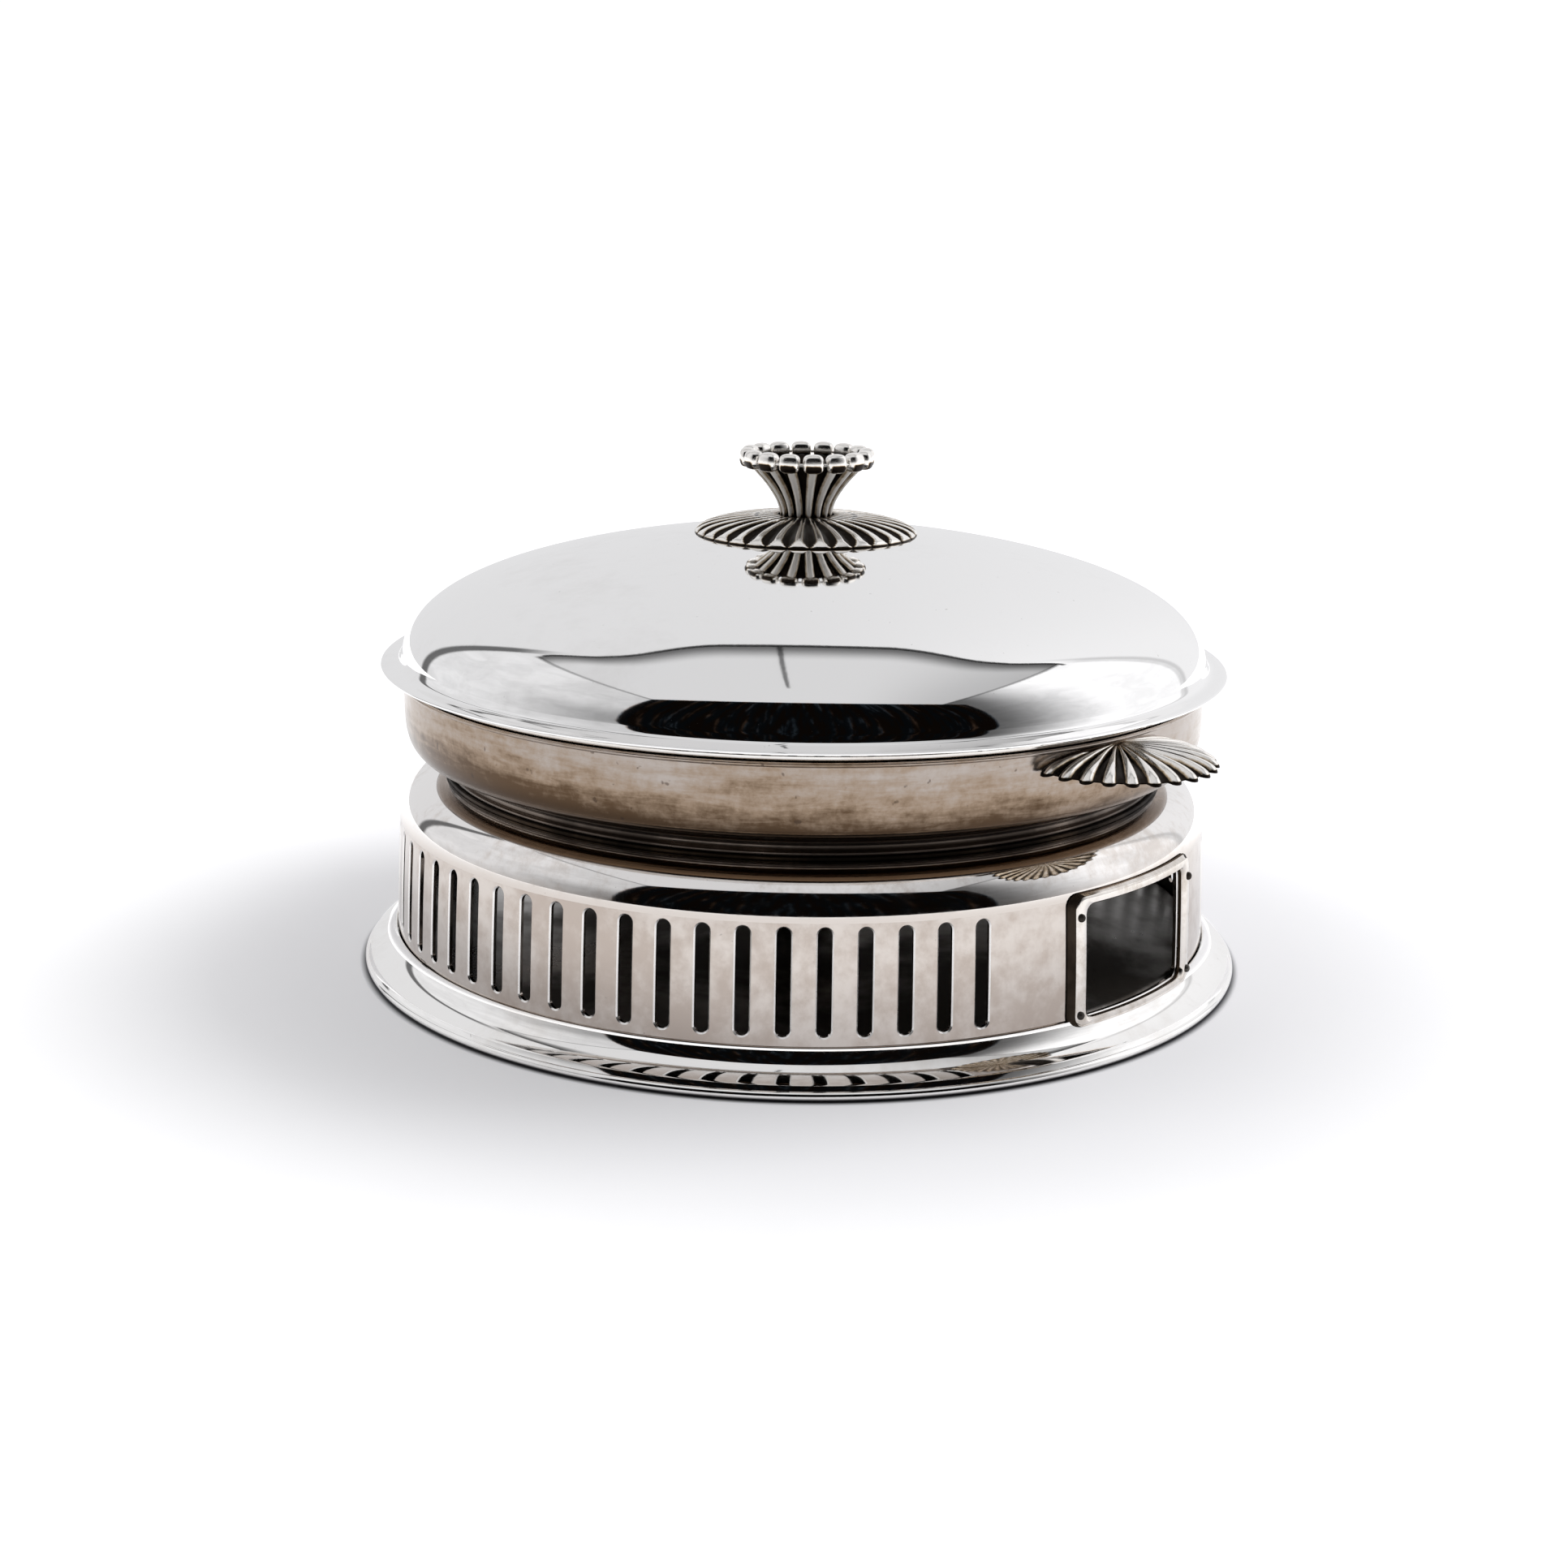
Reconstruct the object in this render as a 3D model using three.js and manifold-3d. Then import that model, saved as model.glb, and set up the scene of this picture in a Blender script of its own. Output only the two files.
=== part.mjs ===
// A round chafing dish: pierced stand with burner, water dish, food pan and domed lid.
// Millimetres, +Z up, origin on the table at the middle of the foot. The two burner windows face
// +X and -X, the two slotted panels face -Y and +Y.
import * as THREE from "three";
import { mergeVertices } from "three/addons/utils/BufferGeometryUtils.js";
import Module from "manifold-3d";

const wasm = await Module();
wasm.setup();

// Clearance between neighbouring pieces, and the flat sides of one full turn
const GAP = 0.3;
const SIDES = 40;

// Foot: a coved ring with a rolled edge, a lip round the wall and a ledge inside it
const FOOT_RADIUS = 146.1;
const FOOT_EDGE = 3.1;
const FOOT_EDGE_WIDTH = 3.5;
const FOOT_HEIGHT = 12.4;
const FOOT_LIP = 0.6;
const FOOT_COVE_RADIUS = 7;
const FOOT_FLARE_DEG = 60;
const LEDGE_HEIGHT = 7.7;
const LEDGE_SHEET = 1.3;
const LEDGE_WIDTH = 9;

// Stand wall: nearly straight, then turned in over a rounded shoulder
const WALL_RADIUS = 135.1;
const WALL_TAPER = 1.6;
const WALL_SHEET = 1.5;
const WALL_HEIGHT = 41.2;
const SHOULDER_RISE = 14;
const SHOULDER_WIDTH = 14.5;

// Slots: round-ended, in two panels
const SLOT_WIDTH = 4.3;
const SLOT_LENGTH = 32.6;
const SLOT_BOTTOM = 15.3;
const SLOT_PITCH_DEG = 5.05;
const SLOTS_PER_PANEL = 26;

// Windows: one each side, with a riveted frame that stands proud of the wall
const WINDOW_WIDTH = 53.4;
const WINDOW_HEIGHT = 34.9;
const WINDOW_CORNER = 3;
const FRAME_SIDE = 6.4;
const FRAME_TOP = 3.8;
const FRAME_BOTTOM = 2.9;
const FRAME_CORNER = 4;
const FRAME_SHEET = 2.3;
const RIVET_RADIUS = 1.7;
const RIVET_HEAD = 1.2;
const RIVET_SHANK = 0.9;
const RIVET_INSET = 1.6;

// Base plate: the burner's floor, a shallow inverted tray inside the wall
const PLATE_SHEET = 1.2;
const PLATE_HEIGHT = 4.9;

// Rim: the thin ring round the stand's mouth that the dish rests on
const RIM_HEIGHT = 1;
const RIM_WIDTH = 2.7;
const RIM_INSET = 0.5;

// Water dish: a rim, a deep rounded side, and a basin that drops inside the stand's mouth
const DISH_SHEET = 1.5;
const DISH_RADIUS = 131.4;
const DISH_HEIGHT = 24.9;
const DISH_ROUNDNESS = 4.8;
const DISH_RIM = 1.6;
const BASIN_CLEARANCE = 1.3;
const BASIN_DEPTH = 11.2;
const SEAT_HEIGHT = 6.1;
const SEAT_WIDTH = 2.1;

// Fluted domes: how full the handles' and the rosette's sections are, from 2 for an ellipse up
const FLUTED_FULLNESS = 2.6;

// Handles: fluted shells on the dish, which stands turned a little in the stand
const HANDLE_TURN_DEG = -5.3;
const HANDLE_RADIUS = 30.3;
const HANDLE_DROOP = 6.2;
const HANDLE_SHEET = 2.2;
const HANDLE_BELOW_RIM = 1.9;
const HANDLE_FLUTES = 15;
const HANDLE_SWEEP_DEG = 200;
const HANDLE_FLUTE_DEPTH = 1.3;

// Food pan: a rolled rim on the dish's rim and a round-cornered well
const PAN_SHEET = 1.3;
const PAN_BEAD = 1.3;
const PAN_CLEARANCE = 2.4;
const PAN_DEPTH = 24;
const PAN_CORNER = 18;

// Lid: a flange with a rolled edge, a flat-topped dome and a bezel that drops into the pan
const LID_RADIUS = 138.6;
const LID_SHEET = 1.2;
const LID_BEAD = 1.1;
const DOME_RADIUS = 132.3;
const DOME_SPAN = 49.4;
const DOME_SUNK = 6;
const DOME_SHOULDER_POWER = 1.388;
const DOME_RISE_POWER = 3.11;
const DOME_HEIGHT = 39.9;
const BEZEL_CLEARANCE = 1;
const BEZEL_SHEET = 1.4;
const BEZEL_DEPTH = 6;
const BEZEL_RISE = 3.5;
const BEZEL_INSET = 1.5;

// Finial: a fluted rosette under a crown of rods with ball tips, held by a stud and nut
const ROSETTE_RADIUS = 36.4;
const ROSETTE_EDGE = 0.4;
const ROSETTE_RISE = 6.6;
const ROSETTE_FLUTES = 32;
const ROSETTE_TURN_DEG = 2.3;
const ROSETTE_FLUTE_DEPTH = 0.9;
const ROSETTE_SHELL = 2.2;
const NECK_RADIUS = 9.2;
const CROWN_NECK = 7.4;
const CROWN_RADIUS = 19.4;
const CROWN_HEIGHT = 19;
const CROWN_RODS = 16;
const CROWN_TURN_DEG = 0.7;
const ROD_RADIUS = 1.6;
const TIP_RADIUS = 2.6;
const STUD_RADIUS = 2;
const STUD_BITE = 4;
const NUT_RADIUS = 4.6;
const NUT_HEIGHT = 3.2;
const WASHER_RADIUS = 7;
const WASHER_SHEET = 1.1;

// Burner: a cup packed with wool under gauze, and a cap whose damper swings aside
const BURNER_RADIUS = 21.5;
const BURNER_HEIGHT = 22;
const BURNER_SHEET = 1.2;
const FLAME_RADIUS = 11;
const WOOL_BELOW_RIM = 4.9;
const GAUZE_SHEET = 0.6;
const CAP_SKIRT = 4.5;
const DAMPER_OVERLAP = 1.5;
const DAMPER_SHEET = 1.2;
const DAMPER_PIVOT = 17;
const DAMPER_EYE = 3.5;
const DAMPER_REACH = 20;
const DAMPER_LEVER_WIDTH = 4;
const PIN_RADIUS = 1.4;
const PIN_HEAD_RADIUS = 2.6;
const PIN_HEAD = 1;
const KNOB_RADIUS = 2.2;

// Heights that follow from the stack of pieces
const wallBottom = LEDGE_HEIGHT + GAP;
const plateTop = wallBottom + PLATE_HEIGHT - GAP;
const windowBottom = plateTop;
const shoulderStart = wallBottom + WALL_HEIGHT;
const shoulderTop = shoulderStart + SHOULDER_RISE;
const rimBottom = shoulderTop + GAP;
const rimTop = rimBottom + RIM_HEIGHT;
const seatBottom = rimTop + GAP;
const seatTop = seatBottom + SEAT_HEIGHT;
const stepHeight = seatTop + GAP;
const basinBottom = stepHeight - BASIN_DEPTH;
const dishTop = stepHeight + DISH_HEIGHT;
const panBeadHeight = dishTop + GAP + PAN_BEAD;
const panTop = panBeadHeight + PAN_BEAD;
const flangeBottom = panTop + GAP;
const flangeTop = flangeBottom + LID_SHEET;
const domeTop = flangeTop + DOME_HEIGHT;
const rosetteBottom = domeTop + GAP;
const rosetteTop = rosetteBottom + ROSETTE_RISE;
const crownBottom = rosetteTop + GAP;

// Radii that follow from the pieces they fit
const shoulderRadius = WALL_RADIUS - WALL_TAPER - SHOULDER_WIDTH;
const mouthRadius = shoulderRadius - RIM_WIDTH;
const basinRadius = mouthRadius - BASIN_CLEARANCE;
const dishRimRadius = DISH_RADIUS + DISH_RIM;
const panRadius = DISH_RADIUS - DISH_SHEET - PAN_CLEARANCE;
const bezelRadius = panRadius - PAN_SHEET - BEZEL_CLEARANCE;
const frameRadius = WALL_RADIUS + FRAME_SHEET;

// Finishes
const polishedSilver = new THREE.MeshStandardMaterial({ color: 0xd9d8d5, roughness: 0.14, metalness: 1 });
const tarnishedSilver = new THREE.MeshStandardMaterial({ color: 0xa08f7d, roughness: 0.34, metalness: 1 });
const oxidisedSilver = new THREE.MeshStandardMaterial({ color: 0x8f8a80, roughness: 0.3, metalness: 1 });
const wornBrass = new THREE.MeshStandardMaterial({ color: 0xa98a58, roughness: 0.35, metalness: 1 });
const darkMetal = new THREE.MeshStandardMaterial({ color: 0x3a3835, roughness: 0.5, metalness: 0.8 });
const wool = new THREE.MeshStandardMaterial({ color: 0xd6cfbf, roughness: 0.95, metalness: 0 });

const model = new THREE.Group();

function addPiece(name, geometry, material, parent = model) {
  const mesh = new THREE.Mesh(geometry, material);
  mesh.name = name;
  parent.add(mesh);
  return mesh;
}

function degrees(angle) {
  return THREE.MathUtils.degToRad(angle);
}

// A solid of revolution about +Z from an outline of [radius, height] points, in either order.
// An outline that doesn't touch the axis closes on itself.
function revolve(outline, sides = SIDES) {
  const points = outline.map(([radius, height]) => new THREE.Vector2(radius, height));
  if (THREE.ShapeUtils.area(points) < 0) points.reverse();
  const touchesAxis = points.some((point) => point.x === 0);
  if (touchesAxis) {
    const start = points.findIndex((p, i) => p.x === 0 && points[(i + 1) % points.length].x > 0);
    points.push(...points.splice(0, start));
  } else {
    points.push(points[0].clone());
  }
  return new THREE.LatheGeometry(points, sides).rotateX(Math.PI / 2);
}

// Points of a quarter of an ellipse, or of a squarer curve where power is over 2.
function quarter(centre, width, height, steps, power = 2) {
  return Array.from({ length: steps + 1 }, (unused, i) => {
    const angle = (i / steps) * (Math.PI / 2);
    const across = Math.cos(angle) ** (2 / power);
    const up = Math.sin(angle) ** (2 / power);
    return [centre[0] + width * across, centre[1] + height * up];
  });
}

// The same path moved sideways, to the left of its direction of travel.
function offsetPath(path, distance) {
  return path.map((point, i) => {
    const before = path[Math.max(i - 1, 0)];
    const after = path[Math.min(i + 1, path.length - 1)];
    const along = [after[0] - before[0], after[1] - before[1]];
    const length = Math.hypot(along[0], along[1]);
    return [point[0] - (along[1] / length) * distance, point[1] + (along[0] / length) * distance];
  });
}

// Solids for cutting and joining
function toSolid(geometry) {
  const bare = geometry.clone();
  bare.deleteAttribute("normal");
  bare.deleteAttribute("uv");
  const merged = mergeVertices(bare, 1e-4);
  const mesh = new wasm.Mesh({
    numProp: 3,
    vertProperties: new Float32Array(merged.attributes.position.array),
    triVerts: new Uint32Array(merged.index.array),
  });
  return new wasm.Manifold(mesh);
}

function toGeometry(solid) {
  const mesh = solid.getMesh();
  const geometry = new THREE.BufferGeometry();
  geometry.setAttribute("position", new THREE.BufferAttribute(new Float32Array(mesh.vertProperties), 3));
  geometry.setIndex(new THREE.BufferAttribute(new Uint32Array(mesh.triVerts), 1));
  geometry.computeVertexNormals();
  return geometry;
}

// A prism along +X of an outline that is drawn in Y and Z
function prismAlongX(outline, near, far, curveSegments) {
  const options = { depth: far - near, bevelEnabled: false, curveSegments };
  const prism = new THREE.ExtrudeGeometry(outline, options);
  return prism.rotateX(Math.PI / 2).rotateZ(Math.PI / 2).translate(near, 0, 0);
}

// A rectangle with rounded corners
function windowPrism(width, bottom, top, corner, near, far) {
  const half = width / 2;
  const outline = new THREE.Shape();
  outline.moveTo(half - corner, bottom);
  outline.absarc(half - corner, bottom + corner, corner, -Math.PI / 2, 0);
  outline.absarc(half - corner, top - corner, corner, 0, Math.PI / 2);
  outline.absarc(corner - half, top - corner, corner, Math.PI / 2, Math.PI);
  outline.absarc(corner - half, bottom + corner, corner, Math.PI, Math.PI * 1.5);
  return prismAlongX(outline, near, far, 2);
}

// A slot with round ends
function slotPrism(near, far) {
  const end = SLOT_WIDTH / 2;
  const centres = [SLOT_BOTTOM + SLOT_LENGTH - end, SLOT_BOTTOM + end];
  const points = centres.flatMap((centre, half) => [0, 1, 2, 3].map((i) => {
    const angle = degrees(half * 180 + i * 60);
    return new THREE.Vector2(end * Math.cos(angle), centre + end * Math.sin(angle));
  }));
  return prismAlongX(new THREE.Shape(points), near, far, 1);
}

// A rod along +X, for shanks and their holes
function radialRod(radius, near, far, y, z) {
  const rod = new THREE.CylinderGeometry(radius, radius, far - near, 10);
  return rod.rotateZ(Math.PI / 2).translate((near + far) / 2, y, z);
}

// Foot
function footCove(steps) {
  const start = WALL_RADIUS + GAP + FOOT_LIP;
  const cove = Array.from({ length: steps + 1 }, (unused, i) => {
    const angle = degrees((i / steps) * FOOT_FLARE_DEG);
    const across = FOOT_COVE_RADIUS * (1 - Math.cos(angle));
    return [start + across, FOOT_HEIGHT - FOOT_COVE_RADIUS * Math.sin(angle)];
  });
  return [...cove, [FOOT_RADIUS - FOOT_EDGE_WIDTH * 0.6, FOOT_EDGE]];
}

function makeFoot() {
  const wallHole = WALL_RADIUS + GAP;
  const ledgeInner = WALL_RADIUS - LEDGE_WIDTH;
  const ledgeBottom = LEDGE_HEIGHT - LEDGE_SHEET;
  const rolledEdge = [
    [FOOT_RADIUS - 0.3, FOOT_EDGE * 0.85],
    [FOOT_RADIUS, FOOT_EDGE * 0.45],
    [FOOT_RADIUS - 0.2, 0],
  ];
  const underside = offsetPath(footCove(4), -LEDGE_SHEET - GAP)
    .filter(([, height]) => height < ledgeBottom)
    .reverse();
  return revolve([
    ...footCove(4),
    ...rolledEdge,
    [FOOT_RADIUS - FOOT_EDGE_WIDTH, 0],
    ...underside,
    [WALL_RADIUS + LEDGE_SHEET, ledgeBottom],
    [ledgeInner, ledgeBottom],
    [ledgeInner, LEDGE_HEIGHT],
    [wallHole, LEDGE_HEIGHT],
    [wallHole, FOOT_HEIGHT],
  ]);
}

// Stand wall
function wallOutside() {
  const shoulder = quarter([shoulderRadius, shoulderStart], SHOULDER_WIDTH, SHOULDER_RISE, 5);
  return [[WALL_RADIUS, wallBottom], ...shoulder, [mouthRadius, shoulderTop]];
}

function slotCutters() {
  const near = WALL_RADIUS - SHOULDER_WIDTH;
  const far = WALL_RADIUS + SHOULDER_WIDTH;
  const slot = slotPrism(near, far);
  const cutters = [];
  for (const panel of [-90, 90]) {
    for (let i = 0; i < SLOTS_PER_PANEL; i += 1) {
      const turn = panel + (i - (SLOTS_PER_PANEL - 1) / 2) * SLOT_PITCH_DEG;
      cutters.push(toSolid(slot.clone().rotateZ(degrees(turn))));
    }
  }
  return cutters;
}

function rivetPlaces() {
  const y = (WINDOW_WIDTH + FRAME_SIDE) / 2;
  const low = windowBottom + RIVET_INSET;
  const high = windowBottom + WINDOW_HEIGHT - RIVET_INSET * 2;
  return [[-y, low], [y, low], [-y, high], [y, high]];
}

// A point on the window's edge lies at this distance from the stand's axis along +X.
function depthAt(radius, y) {
  return Math.sqrt(radius * radius - y * y);
}

function makeWall() {
  const outside = wallOutside();
  const inside = offsetPath(outside, WALL_SHEET).reverse();
  let wall = toSolid(revolve([...outside, ...inside]));
  const near = shoulderRadius - SHOULDER_WIDTH;
  const far = WALL_RADIUS + SHOULDER_WIDTH;
  const windowTop = windowBottom + WINDOW_HEIGHT;
  const cutters = slotCutters();
  for (const side of [0, 180]) {
    const opening = windowPrism(WINDOW_WIDTH, windowBottom, windowTop, WINDOW_CORNER, near, far);
    cutters.push(toSolid(opening.rotateZ(degrees(side))));
    for (const [y, z] of rivetPlaces()) {
      const hole = radialRod(RIVET_SHANK + GAP, near, far, y, z);
      cutters.push(toSolid(hole.rotateZ(degrees(side))));
    }
  }
  for (const cutter of cutters) wall = wall.subtract(cutter);
  return toGeometry(wall);
}

// Window frame and rivets
function makeFrame() {
  const near = shoulderRadius;
  const far = WALL_RADIUS + SHOULDER_WIDTH;
  const windowTop = windowBottom + WINDOW_HEIGHT;
  const bottom = windowBottom - FRAME_BOTTOM;
  const top = windowTop + FRAME_TOP;
  const outer = windowPrism(WINDOW_WIDTH + 2 * FRAME_SIDE, bottom, top, FRAME_CORNER, near, far);
  const opening = windowPrism(WINDOW_WIDTH, windowBottom, windowTop, WINDOW_CORNER, 0, far + 1);
  const skin = revolve([[0, 0], [frameRadius, 0], [frameRadius, shoulderTop], [0, shoulderTop]], SIDES * 2);
  const stand = offsetPath(wallOutside(), -GAP);
  const wallLine = [[0, wallBottom - 1], [stand[0][0], wallBottom - 1], ...stand, [0, shoulderTop + GAP]];
  const wallCore = revolve(wallLine);
  const foot = footCove(4).map(([radius, height]) => [radius + GAP, height + GAP]);
  const footCore = revolve([[0, FOOT_HEIGHT + GAP], ...foot, [FOOT_RADIUS + GAP, 0], [0, 0]]);
  let frame = toSolid(outer).subtract(toSolid(opening)).intersect(toSolid(skin));
  frame = frame.subtract(toSolid(wallCore)).subtract(toSolid(footCore));
  for (const [y, z] of rivetPlaces()) {
    frame = frame.subtract(toSolid(radialRod(RIVET_SHANK + GAP, near, far, y, z)));
  }
  return toGeometry(frame);
}

// A rivet along +X: its head on the frame, its shank through frame and wall, cut flush inside.
function makeRivet(y) {
  const headBase = depthAt(frameRadius, Math.abs(y)) + GAP;
  const shankEnd = depthAt(WALL_RADIUS - WALL_SHEET, Math.abs(y)) - 1;
  const outline = [
    [0, shankEnd],
    [RIVET_SHANK, shankEnd],
    [RIVET_SHANK, headBase + 0.2],
    [RIVET_RADIUS, headBase + 0.2],
    [RIVET_RADIUS * 0.8, headBase + RIVET_HEAD * 0.75],
    [0, headBase + RIVET_HEAD],
  ];
  return revolve(outline, 10).rotateY(Math.PI / 2).translate(0, y, 0);
}

// Base plate
function makePlate() {
  const radius = WALL_RADIUS - WALL_SHEET - 2 * GAP;
  return revolve([
    [0, plateTop],
    [radius - 0.6, plateTop],
    [radius, plateTop - 0.6],
    [radius, wallBottom],
    [radius - PLATE_SHEET, wallBottom],
    [radius - PLATE_SHEET, plateTop - PLATE_SHEET],
    [0, plateTop - PLATE_SHEET],
  ]);
}

// Rim
function makeRim() {
  const outer = shoulderRadius - RIM_INSET;
  return revolve([
    [mouthRadius, rimBottom],
    [outer, rimBottom],
    [outer, rimBottom + RIM_HEIGHT * 0.6],
    [outer - RIM_HEIGHT * 0.4, rimTop],
    [mouthRadius, rimTop],
  ]);
}

// Water dish, its seat ring and its handles
function makeDish() {
  const side = quarter([basinRadius, dishTop], DISH_RADIUS - basinRadius, -DISH_HEIGHT, 6, DISH_ROUNDNESS);
  const corner = quarter([basinRadius - 4, basinBottom + 4], 4, -4, 2);
  const outside = [...side, ...corner, [0, basinBottom]];
  const inside = offsetPath(outside, -DISH_SHEET).reverse();
  inside[0] = [0, basinBottom + DISH_SHEET];
  inside[inside.length - 1] = [DISH_RADIUS - DISH_SHEET, dishTop];
  return revolve([
    [dishRimRadius, dishTop],
    [dishRimRadius, dishTop - DISH_SHEET * 0.8],
    [DISH_RADIUS, dishTop - DISH_SHEET],
    ...outside.slice(1),
    ...inside,
  ]);
}

function makeSeat() {
  const inner = basinRadius + GAP;
  const outer = inner + SEAT_WIDTH;
  const steps = [[0, 0], [0.1, 0], [0.2, 1], [0.42, 1], [0.62, -0.4], [0.85, 0.8], [1, 0.8]];
  const outside = steps.map(([share, waist]) => [outer - waist, seatBottom + share * SEAT_HEIGHT]);
  return revolve([[inner, seatBottom], ...outside, [inner, seatTop]]);
}

// One ring of a fluted dome. Its slope runs from 0 at the top to 90 at the edge, and the grooves
// lie flute deep, square to the surface. The shell says how far inside the outer face it runs.
function domeRing(radius, rise, slope, flute, shell = 0) {
  const out = Math.sin(degrees(slope));
  const up = Math.cos(degrees(slope));
  return {
    radius: (radius - shell) * out ** (2 / FLUTED_FULLNESS),
    height: (rise - shell) * up,
    inward: flute * out,
    sunk: flute * up,
  };
}

// A fluted half dome fanning out along +X from the dish's side, ridges and grooves turn about
function makeHandle() {
  const columns = HANDLE_FLUTES * 2;
  const slopes = [20, 45, 68, 90];
  const rootHeight = dishTop - HANDLE_BELOW_RIM;
  const positions = [];
  for (const shell of [0, HANDLE_SHEET]) {
    positions.push([DISH_RADIUS, 0, rootHeight - shell]);
    for (const slope of slopes) {
      const flute = shell === 0 ? HANDLE_FLUTE_DEPTH * Math.sin(degrees(slope)) : 0;
      const ring = domeRing(HANDLE_RADIUS, HANDLE_DROOP, slope, flute, shell);
      for (let column = 0; column <= columns; column += 1) {
        const turn = degrees((column / columns - 0.5) * HANDLE_SWEEP_DEG);
        const groove = column % 2 === 0 ? 1 : 0;
        const radius = ring.radius - groove * ring.inward;
        const height = rootHeight - HANDLE_DROOP + ring.height - groove * ring.sunk;
        positions.push([DISH_RADIUS + radius * Math.cos(turn), radius * Math.sin(turn), height]);
      }
    }
  }
  const perRing = columns + 1;
  const perSide = 1 + slopes.length * perRing;
  const at = (ring, column) => 1 + ring * perRing + column;
  const faces = [];
  const addFace = (a, b, c) => {
    faces.push([a, b, c], [a + perSide, c + perSide, b + perSide]);
  };
  for (let column = 0; column < columns; column += 1) {
    addFace(0, at(0, column), at(0, column + 1));
    for (let ring = 0; ring < slopes.length - 1; ring += 1) {
      addFace(at(ring, column), at(ring + 1, column), at(ring + 1, column + 1));
      addFace(at(ring, column), at(ring + 1, column + 1), at(ring, column + 1));
    }
  }
  const border = [0];
  for (let ring = 0; ring < slopes.length; ring += 1) border.push(at(ring, 0));
  for (let column = 1; column <= columns; column += 1) border.push(at(slopes.length - 1, column));
  for (let ring = slopes.length - 2; ring >= 0; ring -= 1) border.push(at(ring, columns));
  border.forEach((a, i) => {
    const b = border[(i + 1) % border.length];
    faces.push([a, a + perSide, b + perSide], [a, b + perSide, b]);
  });
  const shell = new THREE.BufferGeometry();
  shell.setAttribute("position", new THREE.BufferAttribute(new Float32Array(positions.flat()), 3));
  shell.setIndex(faces.flat());
  const coreRadius = DISH_RADIUS + GAP;
  const dishCore = revolve([[0, 0], [coreRadius, 0], [coreRadius, dishTop], [0, dishTop]], SIDES * 3);
  return toGeometry(toSolid(shell).subtract(toSolid(dishCore)));
}

// Food pan
function makePan() {
  const beadRadius = dishRimRadius - PAN_BEAD;
  const bead = [-90, -30, 30, 90].map((turn) => {
    const angle = degrees(turn);
    return [beadRadius + PAN_BEAD * Math.cos(angle), panBeadHeight + PAN_BEAD * Math.sin(angle)];
  });
  const panBottom = panBeadHeight - PAN_DEPTH;
  const lip = panBeadHeight - PAN_BEAD + PAN_SHEET;
  const corner = quarter([panRadius - PAN_CORNER, panBottom + PAN_CORNER], PAN_CORNER, -PAN_CORNER, 4);
  const inner = PAN_CORNER - PAN_SHEET;
  const innerCorner = quarter([panRadius - PAN_CORNER, panBottom + PAN_CORNER], inner, -inner, 4);
  return revolve([
    [0, panBottom],
    ...corner.reverse(),
    [panRadius, panBeadHeight - PAN_BEAD],
    ...bead,
    [beadRadius - PAN_BEAD * 0.7, lip],
    [panRadius - PAN_SHEET, lip],
    ...innerCorner,
    [0, panBottom + PAN_SHEET],
  ]);
}

// Lid dome and bezel
function domeOutside() {
  const base = flangeTop - DOME_SUNK;
  const shares = [0, 0.15, 0.35, 0.55, 0.71, 0.83, 0.92, 1];
  return shares.map((share) => {
    const height = flangeTop + share * DOME_HEIGHT;
    const lift = ((height - base) / DOME_SPAN) ** DOME_RISE_POWER;
    return [DOME_RADIUS * (1 - lift) ** (1 / DOME_SHOULDER_POWER), height];
  });
}

function makeDome() {
  const hole = STUD_RADIUS + GAP;
  const beadRadius = LID_RADIUS - LID_BEAD;
  const beadHeight = flangeBottom + LID_BEAD * 0.3;
  const bead = [-120, -50, 20, 90].map((turn) => {
    const angle = degrees(turn);
    return [beadRadius + LID_BEAD * Math.cos(angle), beadHeight + LID_BEAD * Math.sin(angle)];
  });
  const outside = domeOutside();
  const inside = offsetPath(outside, LID_SHEET).slice(2, -1).filter((unused, i) => i % 2 === 0).reverse();
  return revolve([
    ...bead,
    [beadRadius - LID_BEAD, flangeTop],
    ...outside,
    [hole, domeTop],
    [hole, domeTop - LID_SHEET],
    [outside[outside.length - 1][0] - LID_SHEET, domeTop - LID_SHEET],
    ...inside,
    [DOME_RADIUS - LID_SHEET, flangeBottom],
    [beadRadius - LID_BEAD, flangeBottom],
  ]);
}

function makeBezel() {
  const lip = panBeadHeight - PAN_BEAD + PAN_SHEET + GAP;
  const soldered = DOME_RADIUS - LID_SHEET - BEZEL_INSET;
  const outside = [
    [bezelRadius, lip - BEZEL_DEPTH],
    [bezelRadius, lip],
    [soldered, flangeBottom + GAP],
    [soldered, flangeBottom + BEZEL_RISE],
  ];
  const inside = offsetPath(outside, BEZEL_SHEET).reverse();
  return revolve([...outside, ...inside]);
}

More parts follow.
